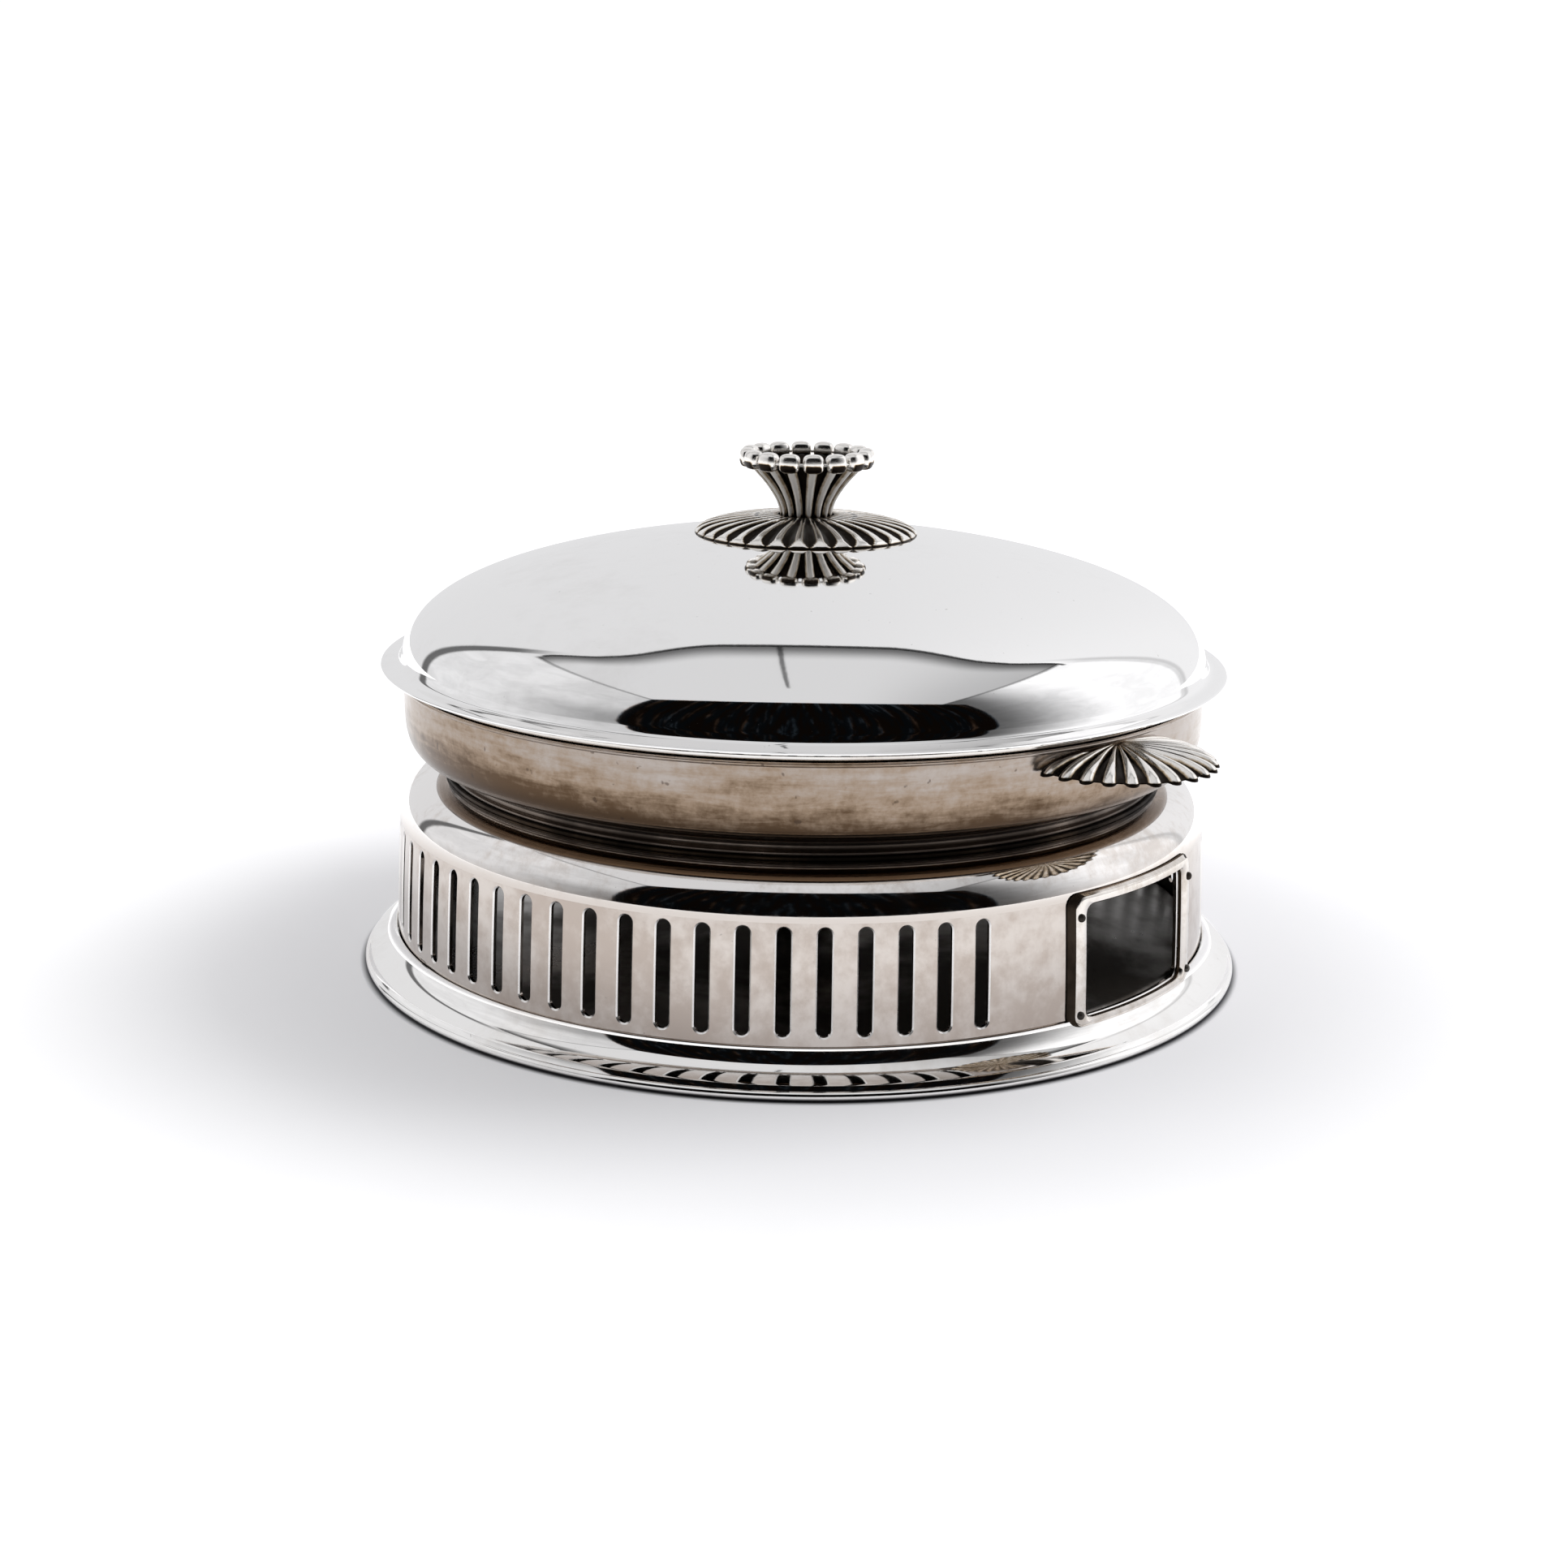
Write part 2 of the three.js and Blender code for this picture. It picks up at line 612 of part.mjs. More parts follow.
// Finial
function makeRosette() {
  const columns = ROSETTE_FLUTES * 2;
  const edgeHeight = rosetteBottom + ROSETTE_EDGE;
  const hole = STUD_RADIUS + GAP;
  const flat = (radius, height) => ({ radius, height, inward: 0, sunk: 0 });
  const domed = (slope, fluting, shell) => {
    const depth = fluting * ROSETTE_FLUTE_DEPTH;
    const ring = domeRing(ROSETTE_RADIUS, rosetteTop - edgeHeight, slope, depth, shell);
    return { ...ring, height: edgeHeight + ring.height };
  };
  const outline = [
    flat(NECK_RADIUS, rosetteTop),
    domed(25, 0.7),
    domed(45, 1),
    domed(62, 1),
    domed(78, 0.7),
    domed(90, 0.4),
    flat(ROSETTE_RADIUS, rosetteBottom),
    flat(ROSETTE_RADIUS - ROSETTE_SHELL, rosetteBottom),
    domed(45, 0, ROSETTE_SHELL),
    flat(NECK_RADIUS, rosetteTop - ROSETTE_SHELL),
    flat(NECK_RADIUS - ROSETTE_SHELL, rosetteBottom),
    flat(hole, rosetteBottom),
    flat(hole, rosetteTop),
  ];
  const positions = [];
  for (const { radius, height, inward, sunk } of outline) {
    for (let column = 0; column < columns; column += 1) {
      const turn = degrees(ROSETTE_TURN_DEG) + (column / columns) * Math.PI * 2;
      const groove = column % 2;
      const reach = radius - groove * inward;
      positions.push(reach * Math.cos(turn), reach * Math.sin(turn), height - groove * sunk);
    }
  }
  const faces = [];
  outline.forEach((unused, ring) => {
    const next = (ring + 1) % outline.length;
    for (let column = 0; column < columns; column += 1) {
      const beside = (column + 1) % columns;
      const corners = [ring, next].flatMap((row) => [row * columns + column, row * columns + beside]);
      faces.push(corners[0], corners[2], corners[3], corners[0], corners[3], corners[1]);
    }
  });
  const rosette = new THREE.BufferGeometry();
  rosette.setAttribute("position", new THREE.BufferAttribute(new Float32Array(positions), 3));
  rosette.setIndex(faces);
  return rosette;
}

// The crown's flare, as shares of its spread and height from the neck up to the tips
function crownFlare() {
  const shares = [[0, 0], [0.05, 0.16], [0.29, 0.43], [0.66, 0.74], [1, 1]];
  return shares.map(([out, up]) => [
    CROWN_NECK + out * (CROWN_RADIUS - CROWN_NECK),
    crownBottom + up * CROWN_HEIGHT,
  ]);
}

function makeCrown() {
  const flare = crownFlare();
  const core = offsetPath(flare, ROD_RADIUS * 0.4);
  core[0][1] = crownBottom;
  core[core.length - 1][1] = crownBottom + CROWN_HEIGHT - TIP_RADIUS * 0.5;
  const hollow = offsetPath(flare.slice(2), ROD_RADIUS * 1.6).reverse();
  const body = revolve([[0, crownBottom], ...core, ...hollow, [0, hollow[hollow.length - 1][1]]], CROWN_RODS);
  body.rotateZ(degrees(CROWN_TURN_DEG));
  const holeRadius = STUD_RADIUS + GAP;
  const studHole = new THREE.CylinderGeometry(holeRadius, holeRadius, 2 * (STUD_BITE + GAP), 16);
  let crown = toSolid(body).subtract(toSolid(studHole.rotateX(Math.PI / 2).translate(0, 0, crownBottom)));
  const places = flare.map(([radius, height]) => new THREE.Vector3(radius, 0, height));
  const line = new THREE.CatmullRomCurve3(places);
  const section = new THREE.Shape().absarc(0, 0, ROD_RADIUS, 0, Math.PI * 2);
  const options = { extrudePath: line, steps: 3, bevelEnabled: false, curveSegments: 3 };
  const foot = new THREE.BoxGeometry(CROWN_RADIUS * 4, CROWN_RADIUS * 4, CROWN_HEIGHT);
  const below = toSolid(foot.translate(0, 0, crownBottom - CROWN_HEIGHT / 2));
  for (let i = 0; i < CROWN_RODS; i += 1) {
    const turn = degrees(CROWN_TURN_DEG + (i * 360) / CROWN_RODS);
    const rod = new THREE.ExtrudeGeometry(section, options).rotateZ(turn);
    const tip = new THREE.SphereGeometry(TIP_RADIUS, 6, 4);
    tip.translate(CROWN_RADIUS, 0, crownBottom + CROWN_HEIGHT);
    crown = crown.add(toSolid(rod)).add(toSolid(tip.rotateZ(turn)));
  }
  return toGeometry(crown.subtract(below));
}

function makeStud() {
  const bottom = domeTop - LID_SHEET - 2 * GAP - WASHER_SHEET - NUT_HEIGHT - STUD_RADIUS;
  const top = crownBottom + STUD_BITE;
  return revolve([[0, bottom], [STUD_RADIUS, bottom], [STUD_RADIUS, top], [0, top]], 16);
}

function makeWasher() {
  const top = domeTop - LID_SHEET - GAP;
  const hole = STUD_RADIUS + GAP;
  const low = top - WASHER_SHEET;
  return revolve([[hole, top], [WASHER_RADIUS, top], [WASHER_RADIUS, low], [hole, low]], 20);
}

function makeNut() {
  const top = domeTop - LID_SHEET - 2 * GAP - WASHER_SHEET;
  const body = new THREE.CylinderGeometry(NUT_RADIUS, NUT_RADIUS, NUT_HEIGHT, 6);
  const hole = new THREE.CylinderGeometry(STUD_RADIUS + GAP, STUD_RADIUS + GAP, NUT_HEIGHT * 2, 16);
  const nut = toSolid(body.rotateX(Math.PI / 2)).subtract(toSolid(hole.rotateX(Math.PI / 2)));
  return toGeometry(nut).translate(0, 0, top - NUT_HEIGHT / 2);
}

// Burner, standing on the base plate
const burnerBottom = plateTop + GAP;
const burnerRim = burnerBottom + BURNER_HEIGHT;
const woolTop = burnerRim - WOOL_BELOW_RIM;
const capTop = burnerRim + GAP + BURNER_SHEET;
const damperBottom = capTop + GAP;
const damperTop = damperBottom + DAMPER_SHEET;
const BURNER_SIDES = 24;

function makeCup() {
  const inner = BURNER_RADIUS - BURNER_SHEET;
  return revolve([
    [0, burnerBottom],
    [BURNER_RADIUS - 1.5, burnerBottom],
    [BURNER_RADIUS, burnerBottom + 1.5],
    [BURNER_RADIUS, burnerRim],
    [inner, burnerRim],
    [inner, burnerBottom + BURNER_SHEET],
    [0, burnerBottom + BURNER_SHEET],
  ], BURNER_SIDES);
}

function makeWool() {
  const radius = BURNER_RADIUS - BURNER_SHEET - GAP;
  const bottom = burnerBottom + BURNER_SHEET + GAP;
  const top = woolTop - GAUZE_SHEET - GAP;
  return revolve([[0, bottom], [radius, bottom], [radius, top], [0, top]], BURNER_SIDES);
}

function makeGauze() {
  const radius = BURNER_RADIUS - BURNER_SHEET - GAP;
  const low = woolTop - GAUZE_SHEET;
  return revolve([[0, low], [radius, low], [radius, woolTop], [0, woolTop]], BURNER_SIDES);
}

function verticalRod(radius, bottom, top, x) {
  const rod = new THREE.CylinderGeometry(radius, radius, top - bottom, 12);
  return rod.rotateX(Math.PI / 2).translate(x, 0, (bottom + top) / 2);
}

function makeCap() {
  const skirtInner = BURNER_RADIUS + GAP;
  const skirtOuter = skirtInner + BURNER_SHEET * 0.8;
  const cap = revolve([
    [FLAME_RADIUS, capTop - BURNER_SHEET],
    [FLAME_RADIUS, capTop],
    [skirtOuter - 0.5, capTop],
    [skirtOuter, capTop - 0.5],
    [skirtOuter, capTop - BURNER_SHEET - CAP_SKIRT],
    [skirtInner, capTop - BURNER_SHEET - CAP_SKIRT],
    [skirtInner, capTop - BURNER_SHEET],
  ], BURNER_SIDES);
  const pinHole = verticalRod(PIN_RADIUS + GAP, burnerRim - CAP_SKIRT, damperTop, -DAMPER_PIVOT);
  return toGeometry(toSolid(cap).subtract(toSolid(pinHole)));
}

function makePin() {
  const bottom = burnerRim - WOOL_BELOW_RIM / 2;
  const headBottom = damperTop + GAP;
  const pin = revolve([
    [0, bottom],
    [PIN_RADIUS, bottom],
    [PIN_RADIUS, headBottom],
    [PIN_HEAD_RADIUS, headBottom],
    [PIN_HEAD_RADIUS, headBottom + PIN_HEAD * 0.6],
    [PIN_HEAD_RADIUS * 0.6, headBottom + PIN_HEAD],
    [0, headBottom + PIN_HEAD],
  ], 12);
  return pin.translate(-DAMPER_PIVOT, 0, 0);
}

// A round cover over the flame hole with an eye for the pin on one side and a lever on the other
function makeDamper() {
  const cover = FLAME_RADIUS + DAMPER_OVERLAP;
  const disc = new THREE.CylinderGeometry(cover, cover, DAMPER_SHEET, 28).rotateX(Math.PI / 2);
  const eye = new THREE.CylinderGeometry(DAMPER_EYE, DAMPER_EYE, DAMPER_SHEET, 14).rotateX(Math.PI / 2);
  const arm = new THREE.BoxGeometry(DAMPER_PIVOT, DAMPER_EYE * 2 - 0.5, DAMPER_SHEET);
  const lever = new THREE.BoxGeometry(DAMPER_REACH, DAMPER_LEVER_WIDTH, DAMPER_SHEET);
  let damper = toSolid(disc).add(toSolid(eye.translate(-DAMPER_PIVOT, 0, 0)));
  damper = damper.add(toSolid(arm.translate(-DAMPER_PIVOT / 2, 0, 0)));
  damper = damper.add(toSolid(lever.translate(DAMPER_REACH / 2, 0, 0)));
  const pinHole = verticalRod(PIN_RADIUS + GAP, -DAMPER_SHEET, DAMPER_SHEET, -DAMPER_PIVOT);
  damper = damper.subtract(toSolid(pinHole));
  return toGeometry(damper).translate(0, 0, (damperBottom + damperTop) / 2);
}

function makeKnob() {
  const bottom = damperTop + GAP;
  return revolve([
    [0, bottom],
    [KNOB_RADIUS * 0.6, bottom],
    [KNOB_RADIUS * 0.5, bottom + 1],
    [KNOB_RADIUS, bottom + 2.2],
    [KNOB_RADIUS * 0.8, bottom + 3.6],
    [0, bottom + 4.2],
  ], 12).translate(DAMPER_REACH - KNOB_RADIUS, 0, 0);
}

// Assembly
addPiece("stand_foot", makeFoot(), polishedSilver);
addPiece("stand_wall", makeWall(), polishedSilver);
addPiece("stand_rim", makeRim(), polishedSilver);
addPiece("base_plate", makePlate(), darkMetal);

for (const [sideName, turn] of [["right", 0], ["left", 180]]) {
  const side = new THREE.Group();
  side.rotation.z = degrees(turn);
  model.add(side);
  addPiece(`window_frame_${sideName}`, makeFrame(), polishedSilver, side);
  rivetPlaces().forEach(([y, z], i) => {
    const rivet = addPiece(`window_rivet_${sideName}_${i + 1}`, makeRivet(y), darkMetal, side);
    rivet.position.z = z;
  });
}

addPiece("water_dish", makeDish(), tarnishedSilver);
addPiece("dish_seat_ring", makeSeat(), tarnishedSilver);
for (const [sideName, turn] of [["right", 0], ["left", 180]]) {
  const handle = addPiece(`dish_handle_${sideName}`, makeHandle(), oxidisedSilver);
  handle.rotation.z = degrees(turn + HANDLE_TURN_DEG);
}

addPiece("food_pan", makePan(), polishedSilver);

addPiece("lid_dome", makeDome(), polishedSilver);
addPiece("lid_bezel", makeBezel(), polishedSilver);
addPiece("finial_rosette", makeRosette(), oxidisedSilver);
addPiece("finial_crown", makeCrown(), oxidisedSilver);
addPiece("finial_stud", makeStud(), darkMetal);
addPiece("finial_washer", makeWasher(), darkMetal);
addPiece("finial_nut", makeNut(), wornBrass);

addPiece("burner_cup", makeCup(), polishedSilver);
addPiece("burner_wool", makeWool(), wool);
addPiece("burner_gauze", makeGauze(), darkMetal);
addPiece("burner_cap", makeCap(), polishedSilver);
addPiece("damper_pin", makePin(), darkMetal);
addPiece("damper_disc", makeDamper(), polishedSilver);
addPiece("damper_knob", makeKnob(), wornBrass);

export default model;
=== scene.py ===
"""A round chafing dish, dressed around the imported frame. Metres, +Z up, burner windows on +X and -X."""
from math import asin, atan2, copysign, cos, dist, hypot, pi, radians, sin, sqrt

import bmesh
import bpy
from mathutils import Matrix, Vector


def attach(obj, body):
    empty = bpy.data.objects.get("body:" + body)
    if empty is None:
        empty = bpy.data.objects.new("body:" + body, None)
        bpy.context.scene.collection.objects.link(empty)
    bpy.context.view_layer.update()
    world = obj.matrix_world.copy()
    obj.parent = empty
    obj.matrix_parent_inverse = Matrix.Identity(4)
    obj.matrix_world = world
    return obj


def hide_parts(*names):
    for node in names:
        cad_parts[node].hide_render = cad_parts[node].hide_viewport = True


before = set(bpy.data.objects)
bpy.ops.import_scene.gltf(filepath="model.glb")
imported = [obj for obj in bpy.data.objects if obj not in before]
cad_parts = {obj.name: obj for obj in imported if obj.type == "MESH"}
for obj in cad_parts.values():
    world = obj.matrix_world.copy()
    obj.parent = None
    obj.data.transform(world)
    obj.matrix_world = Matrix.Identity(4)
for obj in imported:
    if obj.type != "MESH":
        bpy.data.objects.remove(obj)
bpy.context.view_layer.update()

# Sizes in millimetres, as in the solids
MM = 0.001
TURNS = 256

FOOT_RADIUS = 146.1
FOOT_HEIGHT = 12.4
FOOT_EDGE = 1.75
FOOT_ROLL = 1.45
COVE_START = 136.0
COVE_RADIUS = 8.0
COVE_LEAN = radians(59)
FLARE_RADIUS = 21.0
LEDGE_HEIGHT = 7.7

WALL_RADIUS = 135.1
WALL_TAPER = 1.6
WALL_SHEET = 1.5
WALL_BOTTOM = 8.0
WALL_TOP = 49.2
SHOULDER_RISE = 14.0
SHOULDER_WIDTH = 14.5
MOUTH_RADIUS = 116.3
RIM_BOTTOM = 63.5
RIM_TOP = 64.5

SLOT_WIDTH = 4.3
SLOT_LENGTH = 32.6
SLOT_BOTTOM = 15.3
SLOT_PITCH = radians(5.05)
SLOTS_PER_PANEL = 26
EDGE_BREAK = 0.42

WINDOW_WIDTH = 53.4
WINDOW_BOTTOM = 12.6
WINDOW_TOP = 47.5
WINDOW_CORNER = 3.0
WINDOW_TILE = radians(14.0)
FRAME_SIDE = 6.4
FRAME_TOP = 3.8
FRAME_BOTTOM = 2.9
FRAME_CORNER = 4.0
FRAME_SHEET = 2.3
RIVET_RADIUS = 1.25
RIVET_HEAD = 1.2
RIVET_INSET = 1.6
RIVET_SHANK = (0.9, 4.6)
RIVET_SIDES = 20

PLATE_TOP = 12.6
PLATE_SHEET = 1.2
PLATE_CORNER = 2.0
SEAT_BOTTOM = 64.8
SEAT_TOP = 70.9
# Each point of the seat's moulding: its share of the height, and how far out it stands
SEAT_MOULDING = ((0.0, 2.1), (0.12, 2.1), (0.26, 1.2), (0.45, 1.15), (0.62, 2.45), (0.8, 1.5), (0.9, 1.3),
                 (1.0, 1.5))
SEAT_BEAD_START = 26

DISH_RADIUS = 131.4
DISH_RIM_RADIUS = 133.0
DISH_TOP = 96.1
DISH_STEP = 71.2
DISH_BOTTOM = 60.0
DISH_SHEET = 1.5
DISH_ROUNDNESS = 4.8
BASIN_RADIUS = 115.0
BASIN_CORNER = 4.0

FLUTED_FULLNESS = 2.6
HANDLE_TURN = radians(-5.3)
HANDLE_RADIUS = 30.29
HANDLE_ROOT = 94.2
HANDLE_DROOP = 6.2
HANDLE_SHEET = 2.2
HANDLE_RIBS = 15
HANDLE_RIB_SHIFT = 0.2
HANDLE_RIB_WIDTH = 0.62
HANDLE_SWEEP = radians(200)
HANDLE_RIB = 2.1

PAN_RADIUS = 127.5
PAN_BEAD = 1.3
PAN_BEAD_HEIGHT = 97.7
PAN_BOTTOM = 73.7
PAN_CORNER = 18.0
PAN_SHEET = 1.3

LID_RADIUS = 138.6
FLANGE_BOTTOM = 99.3
FLANGE_TOP = 100.5
DOME_RADIUS = 132.3
DOME_BASE = 94.5
DOME_SPAN = 49.4
DOME_SHOULDER_POWER = 1.388
DOME_RISE_POWER = 3.11
DOME_FLAT_RADIUS = 33.0
LID_SHEET = 1.2
DOME_TOP = 140.4
STUD_HOLE = 2.4

BEZEL_LIP = 98.0
BEZEL_TOP = 102.8
BEZEL_DROP = 6.0
BEZEL_SHEET = 1.4

ROSETTE_RADIUS = 36.4
ROSETTE_TOP = 147.3
ROSETTE_EDGE_HEIGHT = 141.1
ROSETTE_BOTTOM = 140.7
ROSETTE_FLUTES = 32
ROSETTE_TURN = radians(2.3)
ROSETTE_FLUTE_DEPTH = 1.3
NECK_RADIUS = 9.2

CROWN_BOTTOM = 147.3
CROWN_TIPS = 165.7
CROWN_RADIUS = 19.4
CROWN_RODS = 16
CROWN_TURN = radians(0.7)
CROWN_FLARE = ((7.2, 147.0), (7.7, 149.7), (8.8, 152.6), (11.0, 156.2), (13.4, 159.3), (15.9, 162.0),
               (19.0, 165.4))
ROD_RADIUS = 1.3
TIP_SIZE = (2.6, 3.4, 3.1)
TIP_POWER = 3.0

STUD_RADIUS = 2.0
STUD_REACH = 8.0
BORE_RADIUS = 2.3
WASHER_RADIUS = 7.0
WASHER_SHEET = 1.1
NUT_RADIUS = 4.6
NUT_HEIGHT = 3.2

BURNER_BOTTOM = 12.9
BURNER_RIM = 34.9
BURNER_RADIUS = 21.5
BURNER_SHEET = 1.2
BURNER_BAND = 26.65
WOOL_BOTTOM = 14.6
WOOL_TOP = 28.7
GAUZE_TOP = 30.0
CAP_TOP = 36.4
CAP_BOTTOM = 30.7
FLAME_RADIUS = 11.0
DAMPER_TOP = 37.9
DAMPER_PIVOT = 17.0
PIN_BOTTOM = 32.4
KNOB_PLACE = 17.8

# The photograph's viewpoint, in a frame that looks along +Y, then turned with the object
VIEW_TURN = radians(39.7)
CAMERA_PLACE = (0.0, -0.789063, 0.258241)
CAMERA_PITCH = 0.251060
CAMERA_YAW = 0.0074763
CAMERA_ROLL = 0.0152287
CAMERA_LENS = 55.57
CAMERA_SENSOR = 36.0

# The dish is darkest on the side that faces -X once it is turned back by this much
DISH_DARK_SIDE_TURN = radians(39.7)

WHITE = (1.0, 1.0, 1.0, 1.0)


# Shader graphs
class Graph:
    """A node tree that is written as calls: add() makes a node and links or sets its inputs."""

    def __init__(self, tree):
        self.tree = tree
        tree.nodes.clear()

    def add(self, kind, inputs=None, **settings):
        made = self.tree.nodes.new("ShaderNode" + kind)
        for key, value in settings.items():
            setattr(made, key, value)
        for key, value in (inputs or {}).items():
            socket = made.inputs[key]
            if isinstance(value, bpy.types.NodeSocket):
                self.tree.links.new(value, socket)
            else:
                socket.default_value = value
        return made

    def math(self, operation, first, second=0.0, third=0.0):
        return self.add("Math", {0: first, 1: second, 2: third}, operation=operation).outputs[0]

    def times(self, first, second):
        return self.math("MULTIPLY", first, second)

    def plus(self, first, second):
        return self.math("ADD", first, second)

    def minus(self, first, second):
        return self.math("SUBTRACT", first, second)

    def scaled(self, value, factor, start):
        return self.math("MULTIPLY_ADD", value, factor, start)

    def between(self, value, low, high, to_low=0.0, to_high=1.0):
        inputs = {"Value": value, "From Min": low, "From Max": high, "To Min": to_low, "To Max": to_high}
        made = self.add("MapRange", inputs, interpolation_type="SMOOTHSTEP")
        return made.outputs["Result"]

    def mix(self, share, first, second):
        """A mix of two colours, each a socket or (red, green, blue)."""
        tones = [tone if isinstance(tone, bpy.types.NodeSocket) else (*tone, 1.0) for tone in (first, second)]
        return self.add("Mix", {0: share, 6: tones[0], 7: tones[1]}, data_type="RGBA").outputs[2]

    def blend(self, share, first, second):
        """A mix of two numbers."""
        return self.add("Mix", {0: share, 2: first, 3: second}).outputs[0]

    def noise(self, place, scale, detail=4.0, roughness=0.55, distortion=0.0):
        inputs = {"Vector": place, "Scale": scale, "Detail": detail, "Roughness": roughness}
        return self.add("TexNoise", {**inputs, "Distortion": distortion}).outputs["Fac"]

    def place(self):
        return self.add("TexCoord").outputs["Object"]

    def parts(self, vector):
        return self.add("SeparateXYZ", {0: vector}).outputs

    def stretched(self, place, scale):
        return self.add("Mapping", {"Vector": place, "Scale": scale}).outputs["Vector"]

    def spun(self, vector, angle):
        made = self.add("VectorRotate", {"Vector": vector, "Angle": angle}, rotation_type="Z_AXIS")
        return made.outputs["Vector"]

    def around(self, radius):
        """Coordinates that run round the axis, outwards and up, in metres."""
        parts = self.parts(self.place())
        along = self.times(self.math("ARCTAN2", parts["Y"], parts["X"]), radius)
        return self.add("CombineXYZ", {0: along, 1: 0.0, 2: parts["Z"]}).outputs[0]


# Every material by the name it is called by here, as the frame has materials with some of these names too
MATERIALS = {}


def new_material(name):
    material = bpy.data.materials.new(name)
    material.use_nodes = True
    MATERIALS[name] = material
    graph = Graph(material.node_tree)
    return graph, graph.place()


def close_shader(graph, base, roughness, height=None, bump=0.1, depth=0.0002, metallic=1.0, glow=0.0):
    inputs = {"Base Color": base, "Roughness": roughness, "Metallic": metallic}
    if glow:
        inputs["Emission Color"] = WHITE
        inputs["Emission Strength"] = glow
    if height is not None:
        bumped = graph.add("Bump", {"Height": height, "Strength": bump, "Distance": depth})
        inputs["Normal"] = bumped.outputs["Normal"]
    shader = graph.add("BsdfPrincipled", inputs)
    graph.add("OutputMaterial", {"Surface": shader.outputs["BSDF"]})


def make_silver(name, bright, stain, low, high, gloss=0.03, haze=0.1, cloud_scale=14.0, lower=None):
    """Polished silver plate: bright where it is rubbed, stained in soft clouds, with fine wipe marks.

    lower is (height, height, colour): the tone turns to that colour from the second height down to the first.
    """
    graph, place = new_material(name)
    clouds = graph.noise(place, cloud_scale, 6.0, 0.6, 0.3)
    mottle = graph.noise(place, cloud_scale * 9.0, 5.0, 0.6)
    mixed = graph.scaled(mottle, 0.35, graph.times(clouds, 0.65))
    stained = graph.between(mixed, low, high)
    specks = graph.between(graph.noise(place, 620.0, 2.0, 0.5), 0.74, 0.8)
    tone = graph.mix(stained, bright, stain)
    if lower is not None:
        up = graph.parts(place)["Z"]
        tone = graph.mix(graph.between(up, lower[0] * MM, lower[1] * MM), lower[2], tone)
    tone = graph.mix(graph.times(specks, 0.3), tone, (0.12, 0.09, 0.07))
    wipes = graph.noise(graph.stretched(place, (900.0, 900.0, 90.0)), 1.0, 3.0, 0.7)
    rough = graph.scaled(stained, haze, graph.scaled(wipes, 0.03, gloss))
    height = graph.scaled(mottle, 0.6, graph.times(wipes, 0.1))
    close_shader(graph, tone, rough, height, 0.04)


def make_dish_metal(name):
    """Heat-stained plate: pale at the rim, brown in blotches lower down, rubbed in places and specked;
    painted shade darkens its rounded bottom.
    """
    graph, place = new_material(name)
    round_side = graph.around(DISH_RADIUS * MM)
    clouds = graph.noise(graph.stretched(round_side, (15.0, 15.0, 30.0)), 1.0, 7.0, 0.66, 0.6)
    blotches = graph.noise(place, 62.0, 7.0, 0.72, 0.3)
    drag = graph.noise(graph.stretched(round_side, (40.0, 40.0, 300.0)), 1.0, 5.0, 0.65, 0.4)
    grain = graph.noise(place, 420.0, 4.0, 0.6)
    up = graph.parts(place)["Z"]
    low_down = graph.between(up, 0.093, 0.074)
    # Darker lower down on the side that faces -X, lighter on the side that faces +X
    sideways = graph.parts(graph.spun(place, -DISH_DARK_SIDE_TURN))["X"]
    left_side = graph.between(sideways, 0.0, -0.09)
    right_side = graph.between(sideways, 0.05, 0.11)
    mixed = graph.scaled(blotches, 0.32, graph.times(clouds, 0.36))
    mixed = graph.scaled(drag, 0.36, mixed)
    mixed = graph.scaled(low_down, 0.17, mixed)
    # Painted shade: darker still along the bottom, where the side curves under
    mixed = graph.scaled(graph.between(up, 0.077, 0.072), 0.12, mixed)
    mixed = graph.scaled(graph.times(left_side, low_down), 0.1, mixed)
    mixed = graph.scaled(right_side, -0.07, mixed)
    mixed = graph.scaled(graph.minus(grain, 0.5), 0.14, mixed)
    light = graph.mix(graph.between(mixed, 0.4, 0.64), (0.41, 0.365, 0.335), (0.3, 0.222, 0.158))
    tone = graph.mix(graph.between(mixed, 0.56, 0.76), light, (0.1, 0.062, 0.036))
    specks = graph.between(graph.noise(place, 300.0, 2.0, 0.5), 0.7, 0.76)
    tone = graph.mix(graph.times(specks, 0.6), tone, (0.06, 0.04, 0.03))
    rough = graph.scaled(mixed, 0.2, 0.04)
    height = graph.scaled(grain, 0.5, blotches)
    close_shader(graph, tone, rough, height, 0.12)


def make_oxide_and_shade(name, ridge, hollow, gloss=0.2, metallic=1.0):
    """Cast silver: ridges rubbed bright, hollows black with age. The mesh says how deep a point lies, and
    also marks painted shade on undersides, rib ends, inner sides and under the crown.
    """
    graph, place = new_material(name)
    depth = graph.add("Attribute", attribute_name="hollow").outputs["Fac"]
    mottle = graph.noise(place, 380.0, 5.0, 0.65)
    shifted = graph.scaled(graph.minus(mottle, 0.5), 0.5, depth)
    dark = graph.between(shifted, 0.3, 0.6)
    warm = graph.mix(graph.between(shifted, 0.1, 0.42), ridge, (0.5, 0.38, 0.24))
    tone = graph.mix(dark, warm, hollow)
    rough = graph.scaled(dark, 0.2, gloss)
    close_shader(graph, tone, rough, mottle, 0.1, metallic=metallic)


